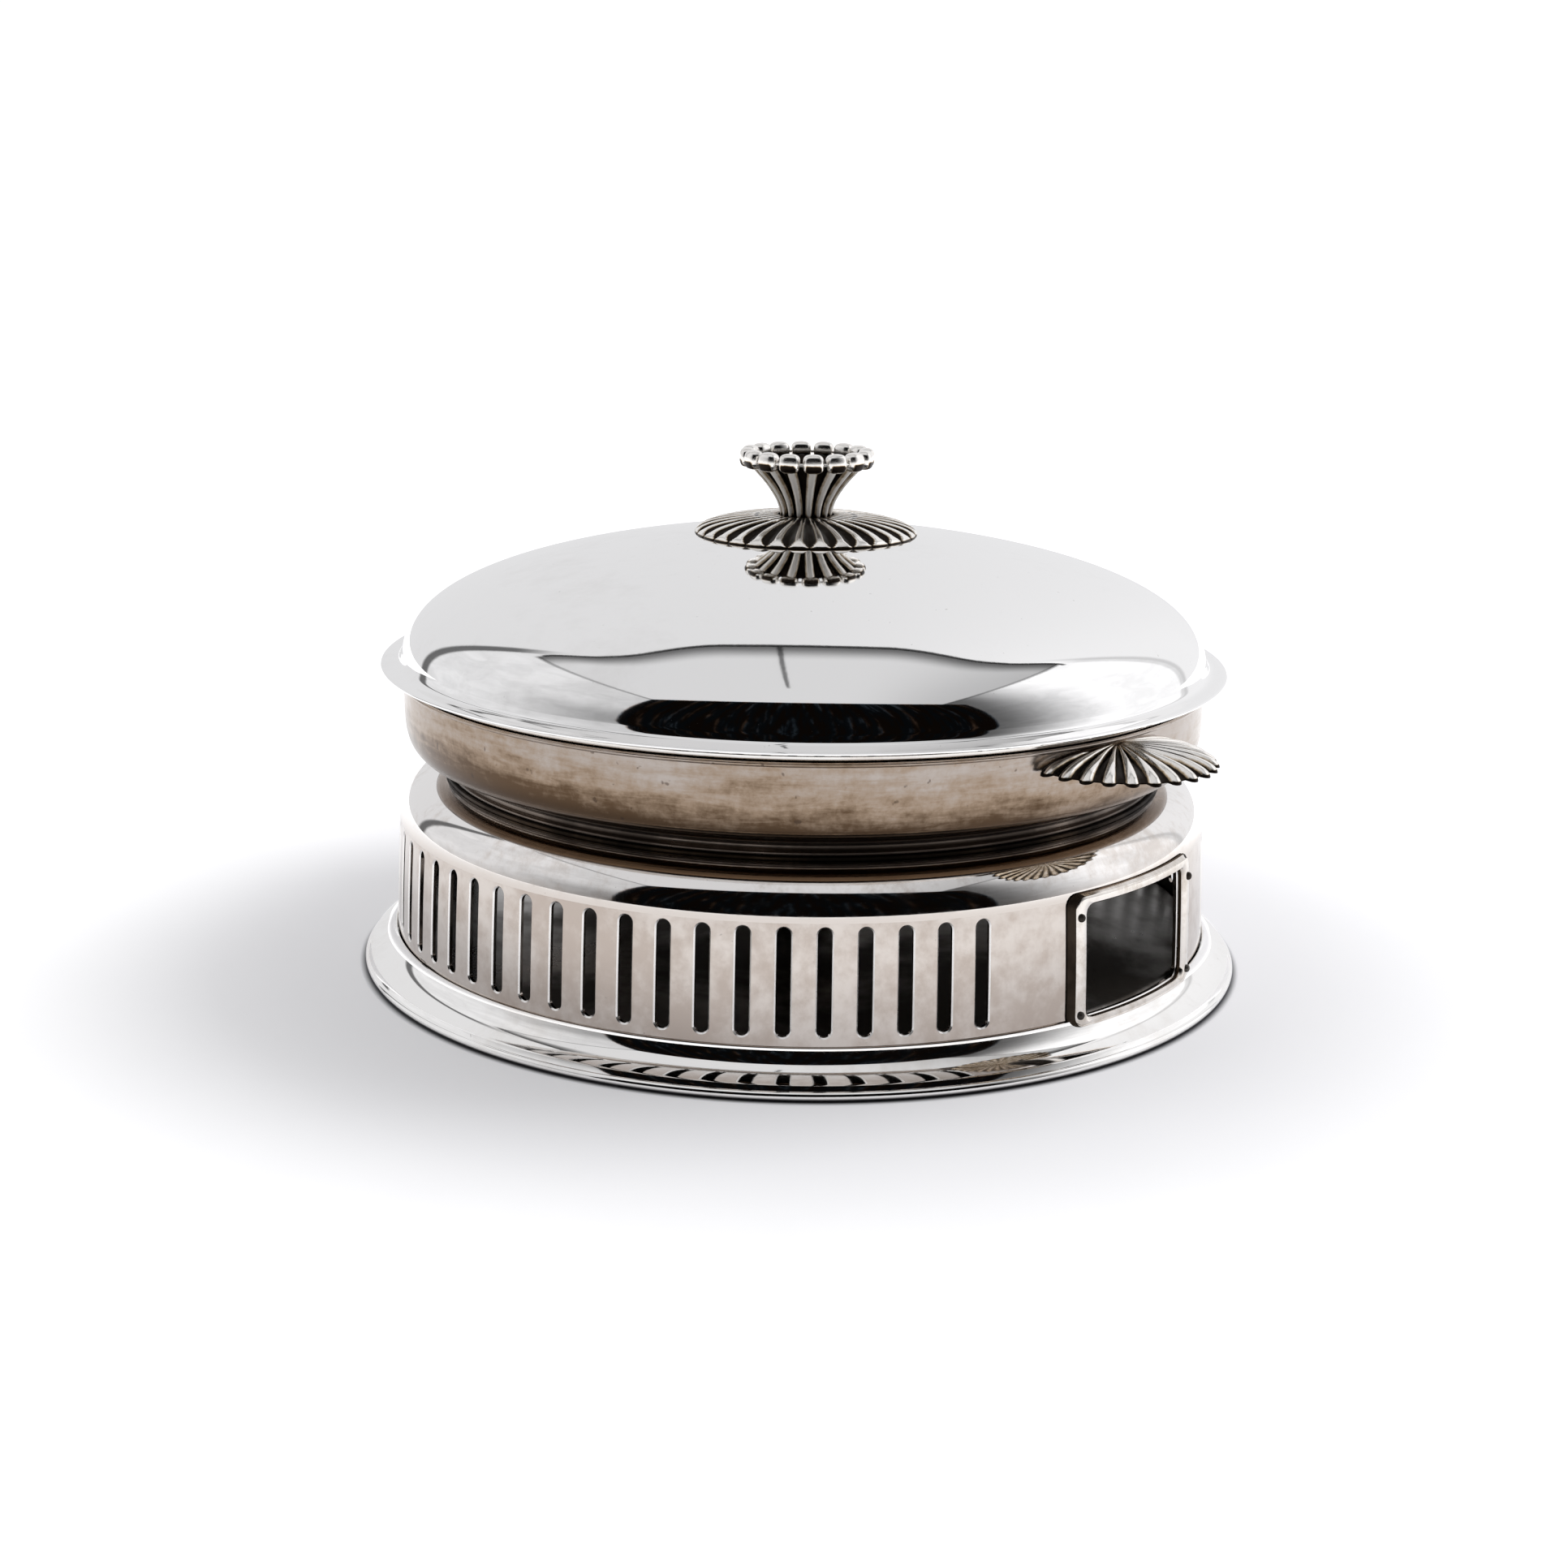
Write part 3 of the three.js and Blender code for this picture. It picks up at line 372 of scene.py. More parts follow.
def make_dull_patched(name, base, patch_tone, gloss=0.25):
    """Dull plate in drifting darker patches. Several uses are painted shade: the stand's inside, the seat
    ring, the mouth rim and the frames' flanks get dark colours where shade falls, and the frames' brown
    inside is partly a painted reflection.
    """
    graph, place = new_material(name)
    drift = graph.noise(place, 16.0, 6.0, 0.6, 0.4)
    grain = graph.noise(place, 260.0, 4.0, 0.6)
    patched = graph.between(drift, 0.36, 0.6)
    tone = graph.mix(patched, base, patch_tone)
    rough = graph.scaled(patched, 0.3, gloss)
    close_shader(graph, tone, rough, grain, 0.08)


def make_brass(name):
    graph, place = new_material(name)
    patches = graph.noise(place, 160.0, 5.0, 0.6)
    worn = graph.between(patches, 0.4, 0.62)
    tone = graph.mix(worn, (0.62, 0.45, 0.2), (0.2, 0.13, 0.07))
    rough = graph.scaled(worn, 0.2, 0.22)
    close_shader(graph, tone, rough, patches, 0.08)


def make_wool(name):
    """Matt mineral wool: pale fibres, scorched a little."""
    graph, place = new_material(name)
    tufts = graph.noise(place, 320.0, 8.0, 0.75, 1.2)
    scorch = graph.between(graph.noise(place, 70.0, 3.0, 0.5), 0.5, 0.7)
    tone = graph.mix(tufts, (0.5, 0.45, 0.36), (0.86, 0.82, 0.74))
    tone = graph.mix(graph.times(scorch, 0.5), tone, (0.2, 0.14, 0.09))
    close_shader(graph, tone, 0.95, tufts, 0.9, 0.0008, metallic=0.0)


def make_gauze(name):
    """Fine wire cloth: crossed wires over a dark ground."""
    graph, place = new_material(name)
    parts = graph.parts(place)
    wires = []
    for axis in ("X", "Y"):
        wave = graph.math("SINE", graph.times(parts[axis], 5200.0))
        wires.append(graph.math("ABSOLUTE", wave))
    mesh = graph.math("MAXIMUM", wires[0], wires[1])
    tone = graph.mix(graph.between(mesh, 0.55, 0.9), (0.02, 0.018, 0.016), (0.3, 0.26, 0.22))
    close_shader(graph, tone, 0.45, mesh, 0.8, 0.0003)


# The materials, each made once and called by its name where pieces are built
WALL_TONE = (0.62, 0.57, 0.53)
make_silver("lid_silver", (0.93, 0.925, 0.92), (0.86, 0.85, 0.84), 0.5, 0.75, 0.02, 0.03)
make_silver("wall_silver", WALL_TONE, (0.47, 0.405, 0.36), 0.42, 0.62, 0.05, 0.07, 20.0)
# Rubbed edges with a painted highlight: the bevels round each opening take a brighter silver than the band
make_silver("edge_silver", (0.9, 0.88, 0.86), (0.78, 0.75, 0.72), 0.5, 0.75, 0.24)
make_silver("shoulder_silver", (0.88, 0.86, 0.845), (0.7, 0.65, 0.61), 0.46, 0.64, 0.03, 0.07, 26.0,
            lower=(49.5, 55.0, WALL_TONE))
make_silver("foot_silver", (0.96, 0.95, 0.935), (0.84, 0.81, 0.78), 0.45, 0.7, 0.03, 0.05)
make_silver("frame_silver", (0.8, 0.76, 0.72), (0.56, 0.5, 0.44), 0.42, 0.62, 0.1, 0.1, 30.0)
make_silver("pan_silver", (0.86, 0.84, 0.81), (0.66, 0.6, 0.54), 0.42, 0.7, 0.1, 0.12)
make_silver("burner_silver", (0.66, 0.64, 0.61), (0.34, 0.3, 0.26), 0.4, 0.62, 0.12, 0.16)
make_dish_metal("dish_metal")
# Painted shade and highlight on the seat ring: its moulding is dark in the gap under the dish, its bead
# lighter for the light line along it
make_dull_patched("seat_metal", (0.2, 0.165, 0.14), (0.06, 0.048, 0.04), 0.16)
make_dull_patched("seat_bead", (0.6, 0.53, 0.46), (0.36, 0.3, 0.25), 0.5)
# Painted shade: the mouth rim, in the gap under the dish, is near black
make_dull_patched("rim_metal", (0.06, 0.04, 0.025), (0.014, 0.011, 0.009), 0.34)
# Painted shade on the frames' upright flanks; the brown inside is partly worn plating and partly a painted
# reflection in the cut edge
make_dull_patched("frame_flank", (0.08, 0.06, 0.045), (0.03, 0.022, 0.016), 0.3)
make_dull_patched("frame_inside", (0.42, 0.29, 0.2), (0.12, 0.08, 0.05), 0.3)
make_oxide_and_shade("oxidised_silver", (0.93, 0.905, 0.87), (0.018, 0.013, 0.01))
make_oxide_and_shade("crown_silver", (1.0, 0.97, 0.92), (0.018, 0.013, 0.01), 0.3, 0.3)
# Painted shade: the stand's inner sheet is near black, as the inside lies in shade
make_dull_patched("smoked_inside", (0.06, 0.055, 0.05), (0.015, 0.013, 0.012), 0.42)
make_dull_patched("plate_metal", (0.42, 0.41, 0.4), (0.12, 0.105, 0.09), 0.27)
make_dull_patched("dark_metal", (0.12, 0.11, 0.1), (0.05, 0.042, 0.036), 0.3)
make_brass("worn_brass")
make_wool("wool")
make_gauze("gauze")


# Mesh building
def add_object(name, data):
    made = bpy.data.objects.new(name, data)
    bpy.context.scene.collection.objects.link(made)
    return made


class Shape:
    """Points in millimetres and faces, welded into one mesh. Each point may say how hollow it lies, a value
    that also carries painted shade under and inside parts.
    """

    def __init__(self):
        self.points = []
        self.faces = []

    def grid(self, rows, columns, point, material=0):
        """A sheet of rows x columns cells. point(row, column) gives (x, y, z) or (x, y, z, hollow).

        material is an index, or a function that gives one for (row, column).
        """
        start = len(self.points)
        across = columns + 1
        self.points += [point(row, column) for row in range(rows + 1) for column in range(across)]
        for row in range(rows):
            for column in range(columns):
                first = start + row * across + column
                index = material(row, column) if callable(material) else material
                self.faces.append(((first, first + 1, first + across + 1, first + across), index))

    def build(self, name, materials, body, nodes=(), sharp=35.0):
        mesh = bpy.data.meshes.new(name)
        working = bmesh.new()
        hollow = working.verts.layers.float.new("hollow")
        made = []
        for point in self.points:
            vertex = working.verts.new([value * MM for value in point[:3]])
            vertex[hollow] = point[3] if len(point) > 3 else 0.0
            made.append(vertex)
        for corners, material in self.faces:
            face = working.faces.new([made[corner] for corner in corners])
            face.material_index = material
            face.smooth = True
        bmesh.ops.remove_doubles(working, verts=working.verts, dist=2e-6)
        bmesh.ops.dissolve_degenerate(working, edges=working.edges, dist=1e-7)
        bmesh.ops.recalc_face_normals(working, faces=working.faces)
        working.to_mesh(mesh)
        working.free()
        mesh.set_sharp_from_angle(angle=radians(sharp))
        for material in materials:
            mesh.materials.append(MATERIALS[material])
        made_object = add_object(name, mesh)
        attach(made_object, body)
        if nodes:
            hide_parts(*nodes)


def turned(shape, profile, segments=TURNS, closed=False, material=0, centre=(0.0, 0.0), hollow=0.0):
    """Turns a profile of (radius, height) points round the axis."""
    line = list(profile) + ([profile[0]] if closed else [])

    def point(row, column):
        angle = 2 * pi * column / segments
        radius, height = line[row]
        return (centre[0] + radius * cos(angle), centre[1] + radius * sin(angle), height, hollow)

    shape.grid(len(line) - 1, segments, point, material)


def turned_piece(name, profile, material, body, node, segments=TURNS, closed=False, centre=(0.0, 0.0),
                 sharp=35.0):
    """A whole piece from one turned profile."""
    shape = Shape()
    turned(shape, profile, segments, closed, centre=centre)
    shape.build(name, [material], body, [node], sharp)


def arc(centre, radius, start, end, steps):
    """Points of an arc from one angle to another, in degrees, with one radius or two."""
    wide, tall = radius if isinstance(radius, tuple) else (radius, radius)
    found = []
    for step in range(steps + 1):
        angle = radians(start + (end - start) * step / steps)
        found.append((centre[0] + wide * cos(angle), centre[1] + tall * sin(angle)))
    return found


def smooth_line(points, steps=6):
    """A smooth curve through the points."""
    found = []
    last = len(points) - 1
    for index in range(last):
        before = points[max(index - 1, 0)]
        start = points[index]
        end = points[index + 1]
        after = points[min(index + 2, last)]
        for step in range(steps):
            t = step / steps
            weights = (
                -0.5 * t + t * t - 0.5 * t**3,
                1 - 2.5 * t * t + 1.5 * t**3,
                0.5 * t + 2 * t * t - 1.5 * t**3,
                -0.5 * t * t + 0.5 * t**3,
            )
            sources = (before, start, end, after)
            found.append(tuple(sum(w * p[k] for w, p in zip(weights, sources)) for k in range(len(start))))
    found.append(tuple(points[last]))
    return found


def softened(points, size=0.4, steps=3):
    """A closed outline with its corners rounded off."""
    found = []
    count = len(points)
    for index, corner in enumerate(points):
        before = points[index - 1]
        after = points[(index + 1) % count]
        ends = []
        for other in (before, after):
            length = dist(corner, other)
            reach = min(size, length * 0.45) / max(length, 1e-9)
            ends.append(tuple(c + (o - c) * reach for c, o in zip(corner, other)))
        for step in range(steps + 1):
            t = step / steps
            found.append(tuple(
                (1 - t) ** 2 * ends[0][k] + 2 * t * (1 - t) * corner[k] + t * t * ends[1][k] for k in (0, 1)))
    return found


def ease(value, low, high):
    t = min(1.0, max(0.0, (value - low) / (high - low)))
    return t * t * (3 - 2 * t)


# Foot
def make_foot():
    cove = []
    place = [COVE_START, FOOT_HEIGHT]
    step = 0.35
    while place[0] < FOOT_RADIUS - FOOT_EDGE - 0.2:
        cove.append(tuple(place))
        travelled = len(cove) * step
        lean = 0.08 + travelled / COVE_RADIUS
        if lean > COVE_LEAN:
            lean = COVE_LEAN + (lean - COVE_LEAN) * COVE_RADIUS / FLARE_RADIUS
        place[0] += step * sin(lean)
        place[1] -= step * cos(lean)
    last = cove[-1]
    step_down = [(last[0] + 0.3, last[1] - 0.16), (last[0] + 0.36, last[1] - 0.42)]
    bead = step_down + arc((FOOT_RADIUS - FOOT_ROLL, FOOT_ROLL), FOOT_ROLL, 78, -88, 18)
    under = [(r - 1.6, z - 1.3) for r, z in reversed(cove) if z < LEDGE_HEIGHT + 1.5]
    outline = [(WALL_RADIUS + 0.3, FOOT_HEIGHT - 0.2), (WALL_RADIUS + 0.5, FOOT_HEIGHT)]
    outline += cove + bead + [(FOOT_RADIUS - 2 * FOOT_EDGE, 0.4)] + under
    outline += [(WALL_RADIUS - 9.0, LEDGE_HEIGHT - 1.3), (WALL_RADIUS - 9.0, LEDGE_HEIGHT),
                (WALL_RADIUS + 0.3, LEDGE_HEIGHT)]
    turned_piece("foot", outline, "foot_silver", "stand", "stand_foot", closed=True)


# Stand wall: the pierced band, then the shoulder
def wall_radius(height):
    rise = min(1.0, max(0.0, (height - WALL_BOTTOM) / (WALL_TOP - WALL_BOTTOM)))
    return WALL_RADIUS - WALL_TAPER * rise**1.6


def on_wall(angle, height, depth):
    radius = wall_radius(height) - depth
    return (radius * cos(angle), radius * sin(angle), height)


class Opening:
    """An opening in the band: a slot or a window, both rectangles with round corners."""

    def __init__(self, half, bottom, top, corner, steps, straight):
        self.half, self.bottom, self.top, self.corner = half, bottom, top, corner
        self.steps, self.straight = steps, straight

    def columns(self, grow):
        """Sideways places across the opening, closer together at its round corners."""
        half, corner = self.half + grow, self.corner + grow
        found = [-half + corner * (1 - cos(pi / 2 * i / self.steps)) for i in range(self.steps)]
        flat = half - corner
        if flat > 1e-6:
            found += [-flat + 2 * flat * i / self.straight for i in range(self.straight + 1)]
        else:
            found.append(0.0)
        return found + [-x for x in reversed(found[:self.steps])]

    def edge(self, across, grow, upper):
        """The opening's upper or lower edge at a sideways place."""
        half, corner = self.half + grow, self.corner + grow
        into = max(0.0, abs(across) - (half - corner))
        drop = corner - sqrt(max(0.0, corner * corner - into * into))
        return self.top + grow - drop if upper else self.bottom - grow + drop


def pierced_tile(shape, turn, half_turn, opening, rows):
    """One tile of the band with its opening: outer and inner sheets, and the opening's edge."""
    side_cells = 3

    def angle_of(across):
        return asin(across / WALL_RADIUS)

    def between_rows(low, high):
        return [low] + [row for row in rows if low + 0.01 < row < high - 0.01] + [high]

    shoulder_low = opening.bottom + opening.corner
    shoulder_high = opening.top - opening.corner
    bottom, top = rows[0], rows[-1]
    for depth, grow, material in ((0.0, EDGE_BREAK, 0), (WALL_SHEET, 0.0, 1)):
        columns = opening.columns(grow)
        angles = [turn + angle_of(across) for across in columns]
        for side in (-1, 1):
            near = angles[0] if side < 0 else angles[-1]
            far = turn + side * half_turn
            cells = [far + (near - far) * i / side_cells for i in range(side_cells + 1)]
            for low, high in ((bottom, shoulder_low), (shoulder_low, shoulder_high), (shoulder_high, top)):
                levels = between_rows(low, high)
                shape.grid(len(levels) - 1, side_cells,
                           lambda i, j: on_wall(cells[j], levels[i], depth), material)
        for upper in (False, True):
            ends = (shoulder_high, top) if upper else (bottom, shoulder_low)
            levels = between_rows(*ends)
            shares = [(level - ends[0]) / (ends[1] - ends[0]) for level in levels]

            def cap_point(i, j):
                edge = opening.edge(columns[j], grow, upper)
                low, high = (edge, top) if upper else (bottom, edge)
                return on_wall(angles[j], low + (high - low) * shares[i], depth)

            shape.grid(len(levels) - 1, len(columns) - 1, cap_point, material)
    middle = between_rows(shoulder_low, shoulder_high)
    layers = ((EDGE_BREAK, 0.0), (0.0, EDGE_BREAK), (0.0, WALL_SHEET))

    def loop(grow):
        columns = opening.columns(grow)
        found = [(across, opening.edge(across, grow, True)) for across in columns]
        found += [(columns[-1], level) for level in reversed(middle[1:-1])]
        found += [(across, opening.edge(across, grow, False)) for across in reversed(columns)]
        found += [(columns[0], level) for level in middle[1:-1]]
        return found + [found[0]]

    rings = [(loop(grow), depth) for grow, depth in layers]
    # The bevel takes the edge silver, a brighter tone painted as a highlight round each opening; the cut
    # through the sheet takes the band's silver
    for first, material in enumerate((2, 0)):

        def rim_point(i, j):
            ring, depth = rings[first + i]
            across, level = ring[j]
            return on_wall(turn + angle_of(across), level, depth)

        shape.grid(1, len(rings[0][0]) - 1, rim_point, material)


def make_wall():
    slot = Opening(SLOT_WIDTH / 2, SLOT_BOTTOM, SLOT_BOTTOM + SLOT_LENGTH, SLOT_WIDTH / 2, 6, 1)
    window = Opening(WINDOW_WIDTH / 2, WINDOW_BOTTOM, WINDOW_TOP, WINDOW_CORNER, 5, 14)
    rows = [WALL_BOTTOM, SLOT_BOTTOM + SLOT_WIDTH / 2, WINDOW_BOTTOM + WINDOW_CORNER]
    rows += [20.0, 24.0, 28.0, 32.0, 36.0, 40.0]
    rows += [WINDOW_TOP - WINDOW_CORNER, SLOT_BOTTOM + SLOT_LENGTH - SLOT_WIDTH / 2, WALL_TOP]
    rows = sorted(rows)
    shape = Shape()
    panel_half = SLOTS_PER_PANEL * SLOT_PITCH / 2
    plain_cells = 8
    for middle in (-pi / 2, pi / 2):
        for index in range(SLOTS_PER_PANEL):
            turn = middle + (index - (SLOTS_PER_PANEL - 1) / 2) * SLOT_PITCH
            pierced_tile(shape, turn, SLOT_PITCH / 2, slot, rows)
        for side in (-1, 1):
            start = middle + side * panel_half
            end = middle + side * (pi / 2 - WINDOW_TILE)
            cells = [start + (end - start) * j / plain_cells for j in range(plain_cells + 1)]
            for depth, material in ((0.0, 0), (WALL_SHEET, 1)):
                shape.grid(len(rows) - 1, plain_cells,
                           lambda i, j: on_wall(cells[j], rows[i], depth), material)
    for turn in (0.0, pi):
        pierced_tile(shape, turn, WINDOW_TILE, window, rows)
    shape.build("wall_band", ["wall_silver", "smoked_inside", "edge_silver"], "stand",
                ["stand_wall"])

    centre = (wall_radius(WALL_TOP) - SHOULDER_WIDTH, WALL_TOP)
    outside = [(wall_radius(WALL_TOP), WALL_TOP)] + arc(centre, (SHOULDER_WIDTH, SHOULDER_RISE), 3, 90, 26)
    lip = [(MOUTH_RADIUS, WALL_TOP + SHOULDER_RISE), (MOUTH_RADIUS, WALL_TOP + SHOULDER_RISE - WALL_SHEET)]
    inside = arc(centre, (SHOULDER_WIDTH - WALL_SHEET, SHOULDER_RISE - WALL_SHEET), 90, 0, 14)
    bottom_edge = [(wall_radius(WALL_BOTTOM) - depth, WALL_BOTTOM) for depth in (0.0, WALL_SHEET)]
    shape = Shape()
    turned(shape, outside + lip)
    turned(shape, lip[1:] + inside, material=1)
    turned(shape, bottom_edge, material=1)
    shape.build("wall_shoulder", ["shoulder_silver", "smoked_inside"], "stand")


def make_rim():
    outer = wall_radius(WALL_TOP) - SHOULDER_WIDTH - 0.5
    outline = softened([(MOUTH_RADIUS, RIM_BOTTOM - 0.3), (outer, RIM_BOTTOM - 0.3), (outer, RIM_TOP),
                        (MOUTH_RADIUS, RIM_TOP)], 0.4)
    turned_piece("mouth_rim", outline, "rim_metal", "stand", "stand_rim", closed=True)


def make_plate():
    radius = WALL_RADIUS - WALL_SHEET - 0.6
    inside = radius - PLATE_SHEET
    outline = [(0.0, PLATE_TOP), (radius - PLATE_CORNER, PLATE_TOP)]
    outline += arc((radius - PLATE_CORNER, PLATE_TOP - PLATE_CORNER), PLATE_CORNER, 80, 0, 6)
    outline += [(radius, WALL_BOTTOM), (inside, WALL_BOTTOM), (inside, PLATE_TOP - PLATE_SHEET),
                (0.0, PLATE_TOP - PLATE_SHEET)]
    turned_piece("floor_plate", outline, "plate_metal", "stand", "base_plate")


# Window frames and rivets
def rectangle_loop(half, bottom, top, corner, straight, steps):
    """Points round a rectangle with round corners, the same count whatever its size."""
    found = []
    corners = ((half - corner, bottom + corner, -90), (half - corner, top - corner, 0),
               (corner - half, top - corner, 90), (corner - half, bottom + corner, 180))
    for index, (across, up, start) in enumerate(corners):
        found += arc((across, up), corner, start, start + 90, steps)
        following = corners[(index + 1) % 4]
        begin = found[-1]
        angle = radians(following[2])
        end = (following[0] + corner * cos(angle), following[1] + corner * sin(angle))
        for step in range(1, straight):
            share = step / straight
            found.append((begin[0] + (end[0] - begin[0]) * share, begin[1] + (end[1] - begin[1]) * share))
    return found + [found[0]]


def make_frames():
    inner = rectangle_loop(WINDOW_WIDTH / 2, WINDOW_BOTTOM, WINDOW_TOP, WINDOW_CORNER, 14, 6)
    outer = rectangle_loop(WINDOW_WIDTH / 2 + FRAME_SIDE, WINDOW_BOTTOM - FRAME_BOTTOM,
                           WINDOW_TOP + FRAME_TOP, FRAME_CORNER, 14, 6)
    section = [(0.02, 0.25), (0.0, 0.6), (0.0, 1.2), (0.04, 1.6), (0.12, 1.95), (0.18, FRAME_SHEET),
               (0.45, 2.36), (0.7, FRAME_SHEET), (0.78, 2.1), (0.84, 1.6), (0.97, 0.9), (1.0, 0.25),
               (0.02, 0.25)]
    first_flank_row = 8

    def material_of(row, column):
        """Brown inside, silver on the face. Upright flanks are dark with painted shade, level ones silver
        with a brown root. The brown is partly worn plating and partly a painted reflection in the cut edge.
        """
        if row < first_flank_row:
            return 2 if row < 2 else 0
        if abs(outer[column][0] + outer[column + 1][0]) / 2 >= WINDOW_WIDTH / 2 + 2.0:
            return 1
        return 0 if row < first_flank_row + 2 else 2

    for side_name, turn in (("right", 0.0), ("left", pi)):
        shape = Shape()

        def point(row, column):
            share, height = section[row]
            across = inner[column][0] + (outer[column][0] - inner[column][0]) * share
            up = inner[column][1] + (outer[column][1] - inner[column][1]) * share
            radius = wall_radius(min(up, WALL_TOP)) + height
            deep = sqrt(radius * radius - across * across)
            spun = Matrix.Rotation(turn, 2) @ Vector((deep, across))
            return (spun.x, spun.y, up)

        shape.grid(len(section) - 1, len(inner) - 1, point, material_of)
        shape.build("frame_" + side_name, ["frame_silver", "frame_flank", "frame_inside"], "stand",
                    ["window_frame_" + side_name], sharp=50.0)
        for index, (side, high) in enumerate(((-1, False), (1, False), (-1, True), (1, True))):
            across = side * (WINDOW_WIDTH + FRAME_SIDE) / 2
            up = WINDOW_TOP - RIVET_INSET * 2 if high else WINDOW_BOTTOM + RIVET_INSET
            make_rivet(f"rivet_{side_name}_{index + 1}", across, up, turn)


def make_rivet(name, across, up, turn):
    radius = wall_radius(up) + FRAME_SHEET
    deep = sqrt(radius * radius - across * across)
    lean = atan2(across, deep)
    shank, length = RIVET_SHANK
    profile = [(shank, -length), (shank, -0.1), (RIVET_RADIUS, -0.05), (RIVET_RADIUS * 1.02, 0.25)]
    profile += [(r, z + 0.25) for r, z in arc((0.0, 0.0), (RIVET_RADIUS, RIVET_HEAD - 0.25), 12, 90, 6)]
    outward = Vector((cos(lean), sin(lean), 0.0))
    sideways = Vector((-sin(lean), cos(lean), 0.0))

    def point(row, column):
        angle = 2 * pi * column / RIVET_SIDES
        reach, out = profile[row]
        place = Vector((deep, across, up)) + outward * out + sideways * (reach * cos(angle))
        place += Vector((0, 0, reach * sin(angle)))
        place.rotate(Matrix.Rotation(turn, 3, "Z"))
        return tuple(place)

    shape = Shape()
    shape.grid(len(profile) - 1, RIVET_SIDES, point)
    shape.build(name, ["dark_metal"], "stand", ["window_" + name])


# Water dish
def dish_side(steps=34):
    found = []
    for step in range(steps + 1):
        angle = pi / 2 * step / steps
        across = cos(angle) ** (2 / DISH_ROUNDNESS)
        down = sin(angle) ** (2 / DISH_ROUNDNESS)
        radius = BASIN_RADIUS + (DISH_RADIUS - BASIN_RADIUS) * across
        found.append((radius, DISH_TOP - (DISH_TOP - DISH_STEP) * down))
    return found


def make_dish():
    side = dish_side()
    rim = [(DISH_RADIUS - DISH_SHEET, DISH_TOP)]
    rim += arc((DISH_RIM_RADIUS - 0.7, DISH_TOP - 0.7), 0.7, 90, -90, 8)
    rim += [(DISH_RADIUS + 0.3, DISH_TOP - 1.45), (DISH_RADIUS, DISH_TOP - 1.8)]
    outside = [point for point in side if point[1] < DISH_TOP - 2.2]
    corner = (BASIN_RADIUS - BASIN_CORNER, DISH_BOTTOM + BASIN_CORNER)
    basin = [(BASIN_RADIUS, DISH_STEP - 0.4)] + arc(corner, BASIN_CORNER, 0, -90, 8)
    shape = Shape()
    turned(shape, rim + outside + basin + [(0.0, DISH_BOTTOM)])
    sheet = DISH_SHEET
    inside = [(r - sheet, z + (sheet if z < DISH_TOP - 12 else 0.0))
              for r, z in outside if z > DISH_STEP + 0.6]
    inside += [(BASIN_RADIUS - sheet, DISH_STEP + sheet - 0.6)]
    inside += arc(corner, BASIN_CORNER - sheet, 0, -90, 6) + [(0.0, DISH_BOTTOM + sheet)]
    turned(shape, rim[:1] + inside, material=1)
    shape.build("dish", ["dish_metal", "pan_silver"], "dish", ["water_dish"])


def make_seat():
    inner = BASIN_RADIUS + 0.3
    outer = [(inner + out, SEAT_BOTTOM + up * (SEAT_TOP - SEAT_BOTTOM)) for up, out in SEAT_MOULDING]
    outer = smooth_line(outer, 5)
    shape = Shape()
    turned(shape, [(inner, SEAT_BOTTOM)] + outer[:SEAT_BEAD_START + 1])
    back = [(inner, SEAT_TOP + 0.2), (inner, SEAT_BOTTOM)]
    # The bead and the back take the lighter material, a painted highlight
    turned(shape, outer[SEAT_BEAD_START:] + back, material=1)
    shape.build("seat_ring", ["seat_metal", "seat_bead"], "dish", ["dish_seat_ring"])


def rib(phase, width):
    """A rounded rib once per unit of phase: (height from 0 to 1, how hollow the place is)."""
    away = abs(phase % 1.0 - 0.5) * 2 / width
    if away < 1.0:
        return sqrt(1 - away * away), 0.6 * away**4
    return 0.0, 1.0


def domed(radius, rise, slope, sunk=0.0):
    """(radius, height) on a full, flattened dome. The slope runs from 0 at its top to a quarter turn."""
    out = sin(slope)
    up = cos(slope)
    return radius * out ** (2 / FLUTED_FULLNESS) - sunk * out, rise * up - sunk * up


